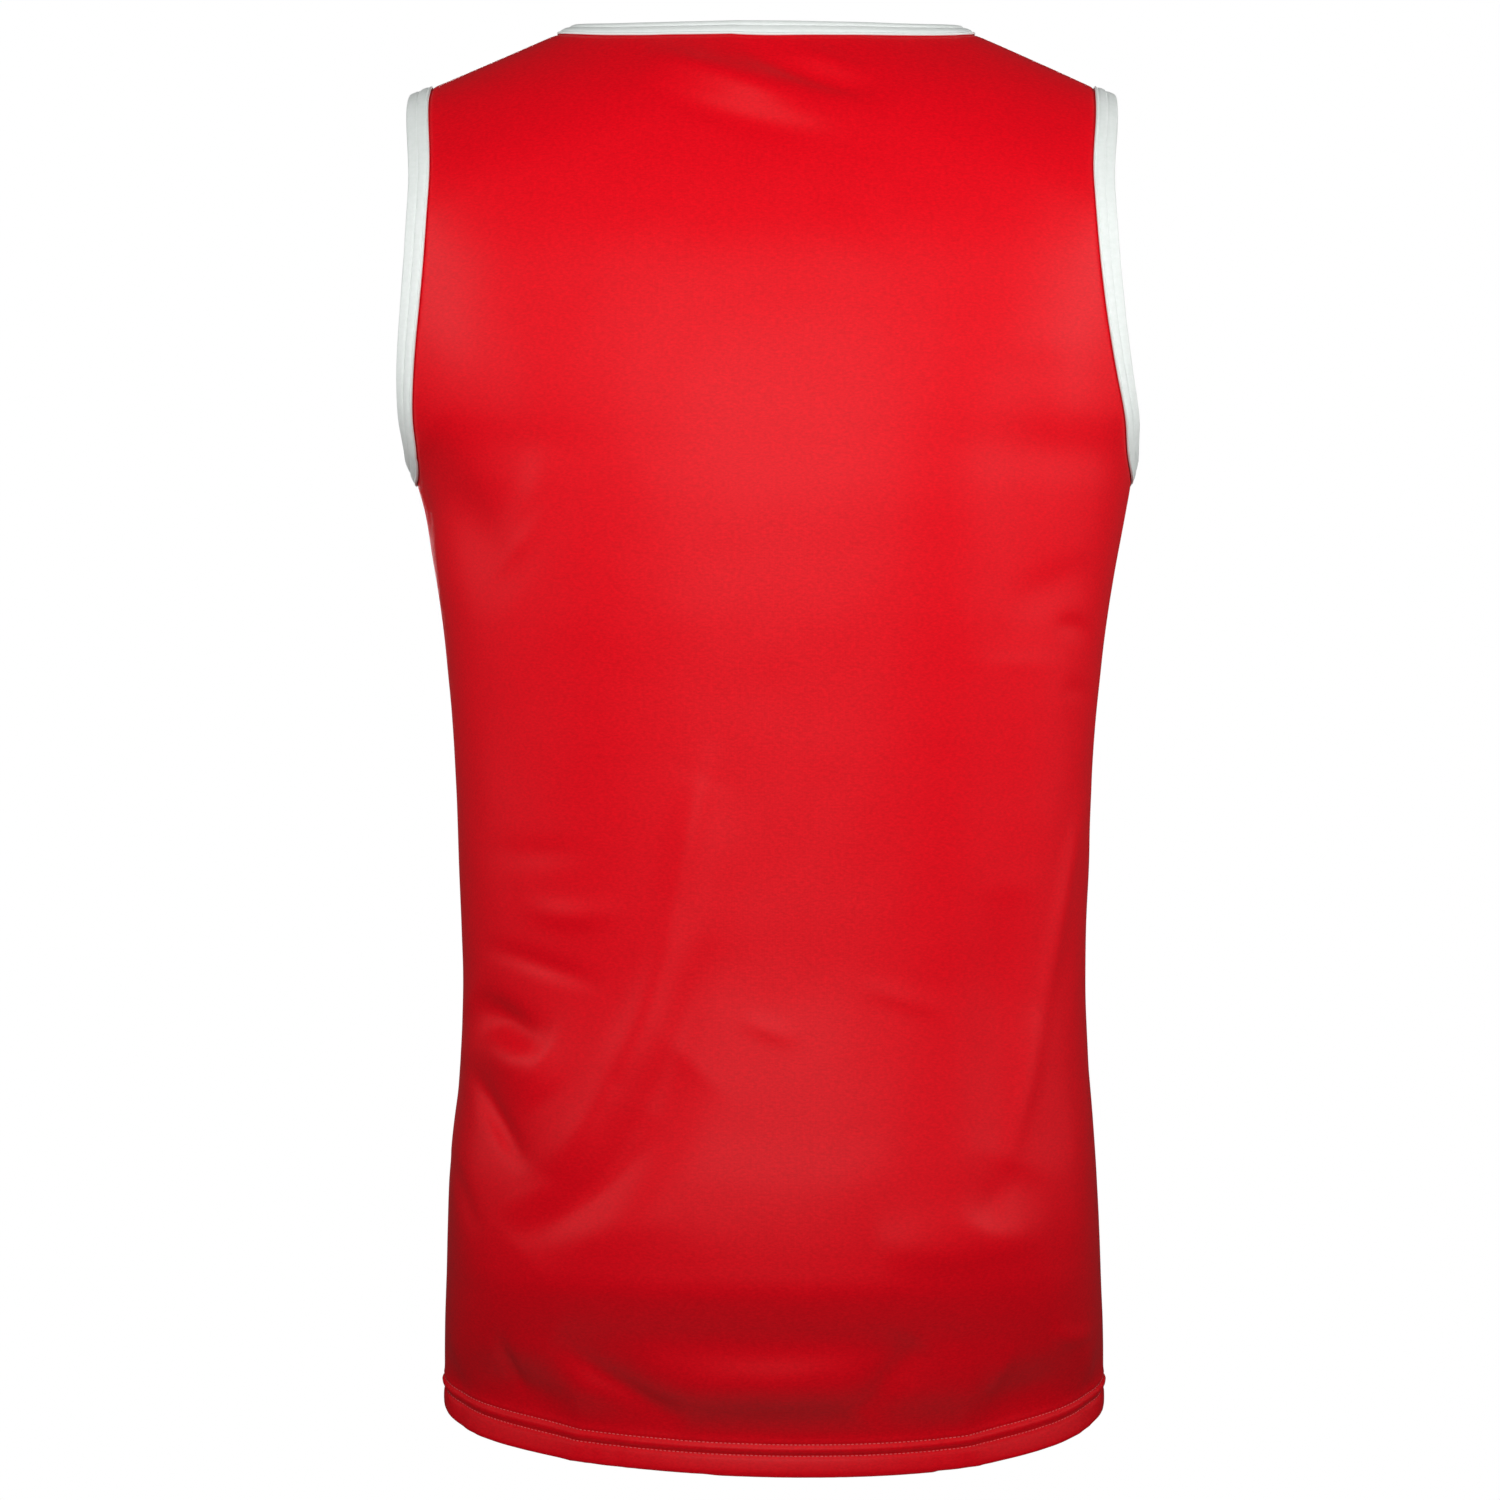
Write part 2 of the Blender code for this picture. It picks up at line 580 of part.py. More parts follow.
def add_binding(name, opening, back, front):
    """One binding: its section carried round an opening, over both panels' raw edges."""
    parts = []
    for panel in (back, front):
        rim, seam = panel.edge(opening)
        parts.append(np.stack([*rim, *seam]))
    # the front's stations run back again, and the two stations on each seam plane are one
    loop = np.concatenate([parts[0], parts[1][:, -2:0:-1]], axis=1)
    rim, seam = (loop[0], loop[1]), (loop[2], loop[3])
    width = BINDING_WIDTH["neck" if opening == "neck" else "arm"]
    rings = np.stack([lap(rim, seam, inward / width, up) for inward, up in binding_section(width)], axis=1)
    rings = np.concatenate([rings, rings[:1]])
    rings = np.concatenate([rings, rings[:, :1]], axis=1)
    mesh, place = grid_mesh(*rings.shape[:2])
    places = leaned(rings).reshape(-1, 3)
    for point in mesh.verts:
        point.co = places[point[place]]
    bmesh.ops.remove_doubles(mesh, verts=mesh.verts, dist=1e-7)
    add_object(name, mesh, "white", 0.6)


for old in list(bpy.data.objects):
    bpy.data.objects.remove(old)
collection = bpy.data.collections.new("boxing_singlet")
bpy.context.scene.collection.children.link(collection)
garment = bpy.data.objects.new("boxing_singlet_origin", None)
collection.objects.link(garment)

back_panel, front_panel = Panel("back"), Panel("front")
add_panel("back", back_panel)
add_panel("front", front_panel)
add_binding("neck_binding", "neck", back_panel, front_panel)
add_binding("armhole_binding_left", "left", back_panel, front_panel)
add_binding("armhole_binding_right", "right", back_panel, front_panel)
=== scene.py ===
"""Boxing singlet: a red knit body with white bound neck and armholes, sewn over its solid model.

Lengths are millimetres until a piece is finished in metres. +Z is up, the front faces -Y and the
wearer's left is +X. The form is worked out straight and symmetric first, and leaned as its last
step.
"""
import bmesh
import bpy
import numpy as np
from mathutils import Matrix, Vector, kdtree, noise


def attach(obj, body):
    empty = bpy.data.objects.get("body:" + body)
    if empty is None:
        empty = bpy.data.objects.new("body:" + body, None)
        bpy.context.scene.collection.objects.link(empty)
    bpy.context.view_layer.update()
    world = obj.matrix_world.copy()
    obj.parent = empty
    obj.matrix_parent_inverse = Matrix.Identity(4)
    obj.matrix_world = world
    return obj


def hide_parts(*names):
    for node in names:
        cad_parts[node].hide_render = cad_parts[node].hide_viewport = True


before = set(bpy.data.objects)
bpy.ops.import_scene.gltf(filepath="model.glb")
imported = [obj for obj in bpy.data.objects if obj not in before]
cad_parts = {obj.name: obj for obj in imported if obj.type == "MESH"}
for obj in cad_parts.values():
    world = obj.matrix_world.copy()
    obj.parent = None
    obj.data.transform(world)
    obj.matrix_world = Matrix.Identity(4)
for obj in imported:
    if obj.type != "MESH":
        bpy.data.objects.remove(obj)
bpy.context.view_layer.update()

METRES = 0.001              # in one millimetre
MM_PER_CM = 10.0
SIGN = {"back": 1.0, "front": -1.0}     # which way each panel lies from the side seams

# Cloth, seams and bindings
CLOTH = 1.2                 # a single layer of knit
SEAM_GAP = 0.002            # left between two pieces that are sewn together
BINDING_WIDTH = {"neck": 10.2, "arm": 12.3}     # from the finished rim to the free edges
RAW_EDGE = 1.3              # from the finished rim to the panel's raw edge inside the fold
NEEDLE_DIP = 0.45           # how far a needle row or an edge under stitching draws the cloth down
SEAM_DIP = 0.9              # how deep a closed seam sinks between the panels
EDGE_REACH = 1.3            # how far an edge's dip reaches
SEAM_REACH = 1.1            # how far a seam's dip reaches

# Shoulder line: a ridge that slopes down and out on both sides
SHOULDER_HEIGHT = 12.6
SHOULDER_HALF = 104.5   # half width where the ridge has that height
SHOULDER_SLOPE = 0.445
SHOULDER_ROUND = 30.0   # how softly the two slopes would meet above the neck

# Level sections are superellipses that close over towards the shoulder line, and grow rounder at
# the hem
POWER = 2.4
CLOSURE = 75.0          # height below the ridge over which a section closes
CLOSURE_POWER = 2.0     # how square the closing curve is
BARELY_OPEN = 1e-9      # least closure that is divided by
NEARLY_SHUT = 0.5       # below this closure a point's angle is read from its width alone
SLOPE_STEP = 0.02       # distance over which the shell's slope is measured
ROUNDS_ONTO_SHELL = 6   # times that a point is moved towards the shell
ROUNDS_OF_HEIGHT = 8    # times that a height is worked out again from its width

# lean moves a level sideways and middle moves its side seams to the back
COLUMNS = ("height", "half_width", "back", "front", "lean", "middle", "power")
SECTIONS = np.array([
    (-690, 164.0, 84.0, 106.0, -2.0, 0.0, 2.0),
    (-665, 164.6, 88.5, 107.0, -2.0, 0.0, 2.05),
    (-650, 164.6, 94.5, 107.5, -2.0, 0.0, 2.1),
    (-638, 164.5, 98.0, 108.0, -2.0, 0.0, 2.14),
    (-624, 164.0, 101.5, 108.8, -2.0, 0.0, 2.2),
    (-610, 163.3, 108.0, 109.5, -2.0, 0.0, 2.26),
    (-599, 162.7, 112.0, 109.8, -2.0, 0.0, 2.31),
    (-585, 162.0, 113.0, 110.0, -2.0, 0.0, 2.36),
    (-550, 160.0, 112.0, 110.0, -2.0, 0.0, 2.4),
    (-520, 158.1, 108.0, 110.0, -2.0, 0.0, 2.4),
    (-490, 156.3, 104.5, 110.0, -2.0, 0.0, 2.4),
    (-460, 155.3, 102.0, 110.0, -2.0, 0.0, 2.4),
    (-430, 155.7, 102.5, 111.0, -2.0, 0.0, 2.4),
    (-400, 156.7, 104.0, 112.5, -2.0, 0.0, 2.4),
    (-350, 158.7, 107.5, 116.5, -2.0, 0.0, 2.4),
    (-310, 161.8, 111.5, 120.5, -2.0, 0.0, 2.4),
    (-280, 165.2, 115.0, 122.5, -2.0, 0.0, 2.4),
    (-250, 170.0, 117.0, 124.5, -2.0, 0.2, 2.4),
    (-217, 176.0, 118.0, 126.0, -2.0, 1.0, 2.4),
    (-198, 181.3, 117.0, 126.5, -0.6, 1.7, 2.4),
    (-180, 190.6, 116.0, 126.5, 0.9, 2.4, 2.4),
    (-160, 197.4, 113.5, 125.0, 2.6, 3.5, 2.4),
    (-127, 203.8, 107.5, 120.5, 4.0, 5.2, 2.4),
    (-100, 206.0, 101.0, 115.0, 4.3, 6.8, 2.4),
    (-70, 206.0, 89.5, 104.5, 4.3, 8.6, 2.4),
    (-40, 205.0, 75.0, 90.5, 4.2, 10.6, 2.4),
    (-20, 204.4, 65.5, 80.0, 3.8, 11.5, 2.4),
    (0, 204.2, 54.5, 70.0, 2.4, 12.0, 2.4),
    (20, 204.2, 43.0, 62.0, 1.8, 12.0, 2.4),
])

# Neck opening, at its finished rim
NECK_HALF = 94.2
NECK = {
    # how far its middle lies below its ends, and how square it is
    "back": {"drop": 3.9, "power": 2.0},
    "front": {"drop": 109.6, "power": 2.3},
}
NECK_MIDDLE = (0.0, 0.0, 60.0)          # a point in the opening, which the cloth lies away from

# Armhole, at its finished rim. Angles are in degrees round from the side seam towards the
# panel's centre
STRAP_END = 175.25      # half width over the strap ends
UNDERARM = -198.0
ARMHOLE = {
    # the height of its deepest cut, the angle there, and how square the curve is
    "back": {"deepest": -70.0, "angle": 36.8, "power": 2.2},
    "front": {"deepest": -100.0, "angle": 44.0, "power": 1.9},
}
ARMHOLE_MIDDLE = (205.0, 0.0, -100.0)

# Bottom edge: lower at the centre of each panel than at the side seams
HEM_HEIGHT = -666.8
HEM_DROP = 24.1
HEM_CURVE = 0.84
HEM_TILT = 0.02         # how much lower the panel's middle hangs towards the wearer's right
HEM_TILT_REACH = 100.0  # height over which the tilt fades out

# The turned hem: height above the bottom edge, how far the outer face is raised, and the wall's
# thickness
HEM = np.array([
    (0.0, -0.55, 0.9),
    (0.3, -0.2, 1.4),
    (0.9, 0.12, 1.9),
    (1.8, 0.3, 2.1),
    (3.0, 0.38, 2.2),
    (4.5, 0.4, 2.2),
    (6.0, 0.36, 2.2),
    (7.2, 0.28, 2.1),
    (8.0, 0.15, 2.1),
    (8.6, -0.12, 2.0),
    (9.1, -0.42, 1.9),
    (9.5, -0.52, 1.9),
    (9.9, -0.4, 1.9),
    (10.4, 0.0, 2.0),
    (11.0, 0.52, 2.1),
    (12.0, 1.05, 2.1),
    (12.9, 1.2, 2.1),
    (13.7, 0.95, 2.1),
    (14.2, 0.45, 2.0),
    (14.7, 0.15, 1.9),
    (15.0, 0.05, 1.9),
    (15.3, 0.12, 2.0),
    (15.7, 0.28, 2.1),
    (16.3, 0.34, 2.1),
    (17.2, 0.22, 1.9),
    (18.0, 0.1, 1.3),
    (19.5, 0.0, 1.2),
    (21.5, 0.0, 1.2),
    (24.0, 0.0, 1.2),
])
LOWER_NEEDLE = 11           # rows of HEM that carry stitches
UPPER_NEEDLE = 20

# How finely the panels are divided
BODY_ROWS = 143             # between the hem and the underarm
ARMHOLE_ROWS = 72
HALF_COLUMNS = {"back": 78, "front": 76}
NECK_SHARE = 0.66           # of the half columns that end at the neck
SIDE_CROWDING = 0.25        # how much closer the columns lie at the side seam
RIM_CROWDING = 0.45         # how much closer the armhole's rows lie at its two ends
BESIDE_SEAM = (3.0, 2.1, 1.3, 0.7, 0.3, 0.0)   # extra rows and columns this close to a seam
CALM_BESIDE = 4.2           # where those extra ones begin
UNDERARM_DIP = 24.0         # rows run down from the underarm corner by this much
DENSE = 400                 # steps in a curve before it is divided

# Large soft folds of the cloth, raised or sunk along a bowed line between two places of x and z
FOLD_COLUMNS = ("start_x", "start_z", "end_x", "end_z", "bow", "height", "half_width")
FOLDS = {
    "back": (
        (62, -5, -38, -48, -5, 2.2, 12),
        (20, 2, -60, -30, -4, -2.0, 11),
        (174, -200, 124, -246, 5, -4.6, 19),
        (-122, -150, -124, -300, 2, -3.0, 24),
        (148, -466, 108, -486, 2, -4.5, 13),
        (136, -478, 108, -508, 0, 2.5, 14),
        (147, -490, 116, -554, 0, -2.8, 14),
        (31, -356, 107, -546, -22, 2.8, 16),
        (38, -492, 121, -580, -8, -4.0, 18),
        (-114, -410, -109, -556, 3, -2.5, 13),
        (-116, -540, -104, -570, 0, -1.6, 16),
        (-137, -575, -50, -578, 4, 2.4, 14),
        (66, -646, -62, -643, 3, 3.2, 13),
        (104, -624, 40, -664, 3, -3.6, 12),
        (-70, -624, -44, -662, 0, -3.2, 12),
        (163, -660, 96, -674, 0, -5.0, 24),
        (-163, -656, -98, -674, 0, -5.0, 24),
    ),
    "front": (
        (-58, -102, 30, -168, 6, 2.2, 14),
        (70, -96, -14, -176, -6, -2.0, 13),
        (170, -200, 112, -250, 5, -4.5, 19),
        (-174, -202, -118, -262, -5, -4.0, 18),
        (-144, -448, -96, -486, 4, -4.0, 13),
        (-138, -486, -92, -540, -5, -4.5, 14),
        (140, -470, 88, -500, -4, -3.8, 13),
        (-24, -376, -96, -556, 18, 2.6, 16),
        (116, -420, 104, -552, -4, -2.6, 14),
        (120, -582, -84, -590, 5, 2.4, 14),
        (-110, -606, 96, -612, 6, -2.6, 14),
        (88, -630, 34, -660, 3, -3.2, 12),
        (-70, -628, -38, -662, 0, -3.0, 12),
        (162, -658, 100, -672, 0, -4.5, 24),
        (-162, -660, -98, -674, 0, -4.5, 24),
    ),
}

FOLD_ENDS = 0.7         # how softly a fold rises from its two ends: lower is more sudden
SEAM_CALM = 25.0        # folds fade out over this distance from the side and shoulder seams

# Fine creases over those folds: the same, with a half width on each side of the line
CREASE_COLUMNS = FOLD_COLUMNS + ("other_width",)
CREASES = {
    "back": (
        (63, -2, -14, -30, 2, 1.3, 5, 7),       # drag lines from the neck
        (17, -2, -52, -26, 2, -1.3, 5, 6),
        (-9, -1, -48, -17, -1, 1.0, 5, 5),
        (63, -19, -38, -48, 5, -1.0, 7, 5),
        (171, -190, 132, -252, 3, -0.7, 16, 12),    # left underarm
        (105, -197, 130, -247, -3, 0.7, 8, 12),
        (165, -236, 118, -266, 2, -1.2, 16, 14),
        (-164, -252, -112, -278, 3, -0.6, 8, 12),   # right underarm
        (-157, -288, -137, -282, 3, -0.8, 4, 5),
        (-158, -318, -140, -314, 3, -0.6, 4, 4),
        (148, -464, 114, -482, -2, -1.9, 10, 6),    # left waist
        (142, -481, 106, -492, 2, 1.7, 10, 8),
        (148, -496, 118, -544, 2, -2.2, 4, 6),
        (142, -437, 79, -456, -1, -0.9, 4, 5),
        (121, -417, 70, -418, 4, 0.8, 5, 6),
        (141, -391, 81, -390, 1, -0.4, 6, 6),
        (27, -337, 52, -440, 1, 0.9, 7, 5),         # the long ridge down the small of the back
        (46, -412, 84, -514, -6, 1.0, 9, 8),
        (74, -500, 107, -545, -2, 0.9, 8, 7),
        (30, -430, 66, -528, -4, -0.9, 7, 8),
        (58, -514, 128, -577, -9, -1.6, 7, 9),
        (110, -583, 43, -562, -2, 0.5, 8, 9),       # above the hem
        (38, -641, -34, -638, 1, 0.6, 7, 7),
        (106, -626, 40, -665, 3, -1.5, 5, 6),
        (-72, -624, -44, -664, 1, -1.3, 6, 5),
        (-110, -548, -103, -572, 1, -0.7, 7, 5),    # right side
        (-47, -573, -127, -573, 10, 0.6, 8, 8),
        (-155, -354, -126, -491, 0, 1.1, 4, 5),
        (-130, -466, -111, -546, -2, 1.2, 4, 5),
        (-114, -252, -105, -509, -1, -0.9, 16, 12),
        (156, -540, 140, -579, -1, -0.8, 4, 4),     # small ones near the hem's ends
        (150, -512, 148, -602, 0, 1.5, 10, 12),
        (-150, -500, -150, -592, 0, 1.1, 12, 10),
        (157, -642, 96, -658, 0, -2.6, 12, 16),
        (-157, -643, -100, -660, 0, -2.2, 16, 12),
        (133, -622, 124, -660, 2, -1.3, 4, 4),
        (-160, -628, -136, -618, -5, 1.2, 4, 5),
        (-117, -629, -107, -655, 0, 0.7, 4, 4),
        (-42, -454, -85, -468, 0, 0.5, 4, 5),
        (15, -470, -14, -480, 0, 0.5, 4, 4),
    ),
    "front": (
        (-60, -98, 6, -152, 5, 1.1, 6, 5),          # drag lines from the neck
        (-28, -118, 34, -162, 3, -0.9, 6, 7),
        (70, -92, 22, -142, -4, 1.0, 5, 6),
        (170, -192, 132, -248, -4, -1.6, 8, 8),     # left underarm
        (112, -200, 134, -252, 3, 1.1, 8, 10),
        (-172, -190, -128, -262, 5, -1.7, 8, 9),    # right underarm
        (-108, -206, -124, -264, -4, 1.1, 9, 8),
        (-160, -262, -108, -250, -8, 1.3, 7, 6),
        (158, -300, 134, -292, -3, -0.8, 4, 5),
        (-144, -452, -100, -474, 2, -1.5, 5, 5),    # right waist
        (-142, -478, -88, -500, 4, 1.1, 7, 6),
        (-140, -498, -98, -536, 4, -1.6, 5, 6),
        (-142, -424, -84, -440, 2, -0.8, 4, 5),
        (142, -456, 98, -478, -2, -1.3, 5, 5),      # left waist
        (140, -480, 92, -492, 4, 1.0, 6, 6),
        (142, -428, 92, -434, -2, -0.7, 4, 5),
        (-22, -350, -50, -446, -2, 0.8, 6, 7),      # the long ridge over the belly
        (-44, -424, -86, -522, 6, 1.2, 5, 7),
        (-74, -506, -112, -552, 2, 1.0, 6, 5),
        (-52, -508, -124, -578, 8, -1.4, 9, 7),
        (154, -352, 124, -500, 2, 1.0, 5, 4),       # left side
        (112, -262, 104, -512, 2, -0.8, 14, 12),
        (108, -566, 116, -528, -6, -1.1, 7, 7),
        (50, -576, 128, -570, -8, 1.1, 6, 7),
        (-112, -586, -40, -568, 3, 1.2, 7, 7),      # above the hem
        (-98, -616, 52, -604, 3, -1.0, 8, 8),
        (-44, -634, 40, -628, 2, 0.8, 7, 7),
        (-98, -630, -42, -664, -4, -0.7, 5, 5),
        (84, -626, 44, -662, -2, -0.7, 5, 5),
        (-156, -548, -140, -586, 2, -0.7, 4, 4),    # small ones near the hem's ends
        (-140, -608, -126, -656, -2, -0.7, 4, 4),
        (160, -612, 138, -620, 3, -0.8, 4, 4),
        (38, -446, 84, -462, 2, 0.5, 4, 5),
    ),
}
CREASE_HEIGHT = 1.6         # how much higher they stand than in the table
CREASE_CALM = 9.0           # fine creases fade out over this distance from the seams
HEM_TUCK = 5.2              # how far the cloth draws in above the hem
HEM_KICK = 1.6              # how far the hem kicks out again
TUCK_HEIGHT = 14.0          # height above the bottom edge where it draws in most
TUCK_REACH = 20.0           # height over which that fades
PUCKER = 0.16               # height of the hem's small gathers between stitches
PUCKER_PITCH = 11.0
PUCKER_TOP = 12.0           # height over the hem's lowest edge where they begin to fade
PUCKER_FADE = 9.0           # height over which they fade
PUCKER_RADIUS = 140.0       # turns an angle round the garment into a length along the hem
PUCKER_DRIFT = (1.3, 2.7)           # how much their pitch wanders, and how slowly
PUCKER_SWELL = (0.6, 0.4, 7.3)      # their even share, their wandering share, and how slowly
WAVES = ((0.55, 62.0), (0.22, 24.0))   # height and length of the cloth's faint unevenness


def section(name, height):
    """One column of SECTIONS at any height, as a smooth curve through its rows."""
    heights = SECTIONS[:, 0]
    values = SECTIONS[:, COLUMNS.index(name)]
    slopes = np.gradient(values, heights)
    row = np.clip(np.searchsorted(heights, height) - 1, 0, len(heights) - 2)
    step = heights[row + 1] - heights[row]
    part = np.clip((height - heights[row]) / step, 0.0, 1.0)
    rest = 1.0 - part
    ends = values[row] * rest ** 2 * (1 + 2 * part) + values[row + 1] * part ** 2 * (1 + 2 * rest)
    return ends + step * (slopes[row] * part * rest ** 2 - slopes[row + 1] * part ** 2 * rest)


def ridge(across):
    """Height of the shoulder line at a distance from the middle."""
    run = np.sqrt(across ** 2 + SHOULDER_ROUND ** 2) - np.hypot(SHOULDER_HALF, SHOULDER_ROUND)
    return SHOULDER_HEIGHT - SHOULDER_SLOPE * run


def closure(across, height):
    """Share of the full depth to the POWER that the shell has under the shoulder line."""
    below = ridge(across) - height
    open_part = 1.0 - np.maximum(0.0, 1.0 - below / CLOSURE) ** CLOSURE_POWER
    return np.sign(open_part) * np.abs(open_part) ** (POWER / CLOSURE_POWER)


def shell_value(points):
    """Zero on the shell, negative inside it."""
    across, height = np.abs(points[..., 0]), points[..., 2]
    depth = np.where(points[..., 1] > 0, section("back", height), section("front", height))
    power = section("power", height)
    level = 1.0 - (across / section("half_width", height)) ** power
    return (np.abs(points[..., 1]) / depth) ** power - level * closure(across, height)


def slope(points):
    """Gradient of shell_value."""
    moves = np.eye(3) * SLOPE_STEP
    parts = [shell_value(points + move) - shell_value(points - move) for move in moves]
    return np.stack(parts, axis=-1) / (2 * SLOPE_STEP)


def outward(points):
    """Unit normals of the shell."""
    away = slope(points)
    return away / np.linalg.norm(away, axis=-1, keepdims=True)


def onto_shell(points):
    """The points moved straight onto the shell."""
    for _ in range(ROUNDS_ONTO_SHELL):
        away = slope(points)
        size = np.sum(away ** 2, axis=-1, keepdims=True)
        points = points - away * shell_value(points)[..., None] / size
    return points


def shell_point(side, angle, height):
    """Point of the left half at an angle from the side seam."""
    power = section("power", height)
    across = section("half_width", height) * np.cos(angle) ** (2 / power)
    share = np.sin(angle) ** 2 * np.maximum(closure(across, height), 0.0)
    deep = section(side, height) * share ** (1 / power)
    return np.stack([across, SIGN[side] * deep, height], axis=-1)


def angle_of(side, points):
    """Angle from the side seam of points on the shell's left half."""
    height = points[..., 2]
    power = section("power", height)
    wide = (np.abs(points[..., 0]) / section("half_width", height)) ** power
    opened = np.maximum(closure(points[..., 0], height), BARELY_OPEN)
    deep = (np.abs(points[..., 1]) / section(side, height)) ** power / opened
    from_width = np.arccos(np.sqrt(np.clip(wide, 0.0, 1.0)))
    from_both = np.arctan2(np.sqrt(deep), np.sqrt(wide))
    return np.where(opened > NEARLY_SHUT, from_both, from_width)


def fall_of(points):
    """Square root of the distance under the shoulder line."""
    return np.sqrt(np.maximum(ridge(points[..., 0]) - points[..., 2], 0.0))


def height_at(angle, fall):
    """Height of the shell point that has this angle and this fall."""
    height = ridge(STRAP_END * np.cos(angle)) - fall ** 2
    for _ in range(ROUNDS_OF_HEIGHT):
        across = section("half_width", height) * np.cos(angle) ** (2 / POWER)
        height = ridge(across) - fall ** 2
    return height


def lengths(curve):
    """Distance along a curve of points at each of them, as a share of the whole."""
    steps = np.linalg.norm(np.diff(curve, axis=0), axis=-1)
    along = np.concatenate([[0.0], np.cumsum(steps)])
    return along / along[-1]


def at_shares(curve, along, shares):
    """Values of a curve, or of a table beside it, where its length has the given shares."""
    return np.stack([np.interp(shares, along, curve[:, k]) for k in range(curve.shape[1])], axis=-1)


def neck_rim(side):
    """Finished rim of one side of the neck, from the centre to the shoulder line."""
    drop, power = NECK[side]["drop"], NECK[side]["power"]
    turn = np.linspace(np.pi / 2, 0.0, DENSE + 1)
    across = NECK_HALF * np.cos(turn) ** (2 / power)
    across[0] = 0.0
    height = ridge(NECK_HALF) - drop * np.sin(turn) ** (2 / power)
    opened = np.maximum(closure(across, height), 0.0)
    level = 1.0 - (across / section("half_width", height)) ** POWER
    deep = section(side, height) * (level * opened) ** (1 / POWER)
    deep[-1] = 0.0
    return np.stack([across, SIGN[side] * deep, height], axis=-1)


def armhole_rim(side):
    """Finished rim of one side of the left armhole, from the side seam to the shoulder line."""
    cut = ARMHOLE[side]
    deepest, angle, power = cut["deepest"], np.radians(cut["angle"]), cut["power"]
    top = ridge(STRAP_END)
    tip = np.arccos((STRAP_END / section("half_width", np.array([top]))[0]) ** (POWER / 2))
    # the points crowd towards both ends
    step = np.linspace(0.0, 1.0, DENSE + 1)
    share = np.where(step < 0.5, 0.5 * (2 * step) ** 2, 1.0 - 0.5 * (2 - 2 * step) ** POWER)
    height = UNDERARM + (top - UNDERARM) * share
    low = np.clip((deepest - height) / (deepest - UNDERARM), 0.0, 1.0)
    high = np.clip((height - deepest) / (top - deepest), 0.0, 1.0)
    angles = angle * (1.0 - low ** power) ** (1 / power)
    angles = angles + (tip - angle) * high ** 2 * (3 - 2 * high)
    rim = shell_point(side, angles, height)
    rim[[0, -1], 1] = 0.0
    return rim


def seam_beside(rim, width, opening):
    """The binding's free edge: the rim moved by its width over the shell, away from the opening.

    A rim starts on the middle plane or on the side seam, and it ends on the shoulder line.
    """
    along = np.gradient(rim, axis=0)
    along[0] = (1.0, 0.0, 0.0) if rim[0, 0] == 0.0 else (0.0, 1.0, 0.0)
    along[-1] = (0.0, 1.0, 0.0)
    across = np.cross(outward(rim), along)
    across *= np.sign(np.sum(across * (rim - opening), axis=-1, keepdims=True))
    across /= np.linalg.norm(across, axis=-1, keepdims=True)
    seam = onto_shell(rim + across * width)
    seam[-1, 1:] = 0.0, ridge(seam[-1, 0])
    seam[0, 0 if rim[0, 0] == 0.0 else 1] = 0.0
    return seam


def even_then_crowded(count, crowding, length):
    """Places from 0 to 1 along a length, with extra ones close beside the seam at its end."""
    even = np.linspace(0.0, 1.0, count + 1)
    spread = (1.0 + crowding) * even - crowding * even ** 2
    beside = 1.0 - np.array(BESIDE_SEAM) / length
    return np.concatenate([spread * (1.0 - CALM_BESIDE / length), beside])


def level_row(side, angles, heights):
    """One row of the left half, from the centre to the side seam."""
    curve = shell_point(side, angles, heights)
    size = np.sum(np.linalg.norm(np.diff(curve, axis=0), axis=-1))
    shares = even_then_crowded(HALF_COLUMNS[side], SIDE_CROWDING, size)
    along = lengths(curve)
    return shell_point(side, np.interp(shares, along, angles), np.interp(shares, along, heights))


def body_rows(side):
    """Rows of the left half from the bottom edge to the underarm."""
    angles = np.linspace(np.pi / 2, 0.0, DENSE + 1)
    top = np.full(DENSE + 1, UNDERARM - BINDING_WIDTH["arm"])
    level = shell_point(side, angles, top)
    from_side = (1.0 - lengths(level)) * np.sum(np.linalg.norm(np.diff(level, axis=0), axis=-1))
    top -= UNDERARM_DIP * (1.0 - np.exp(-from_side / UNDERARM_DIP))
    bottom = HEM_HEIGHT - HEM_DROP * np.sin(angles) ** (2 / POWER * HEM_CURVE)
    rows = [level_row(side, angles, bottom + above) for above in HEM[:, 0]]
    hem_top = bottom + HEM[-1, 0]
    shares = np.linspace(0.0, 1.0, BODY_ROWS + 1)[1:]
    rows += [level_row(side, angles, hem_top + (top - hem_top) * share) for share in shares]
    return np.array(rows)


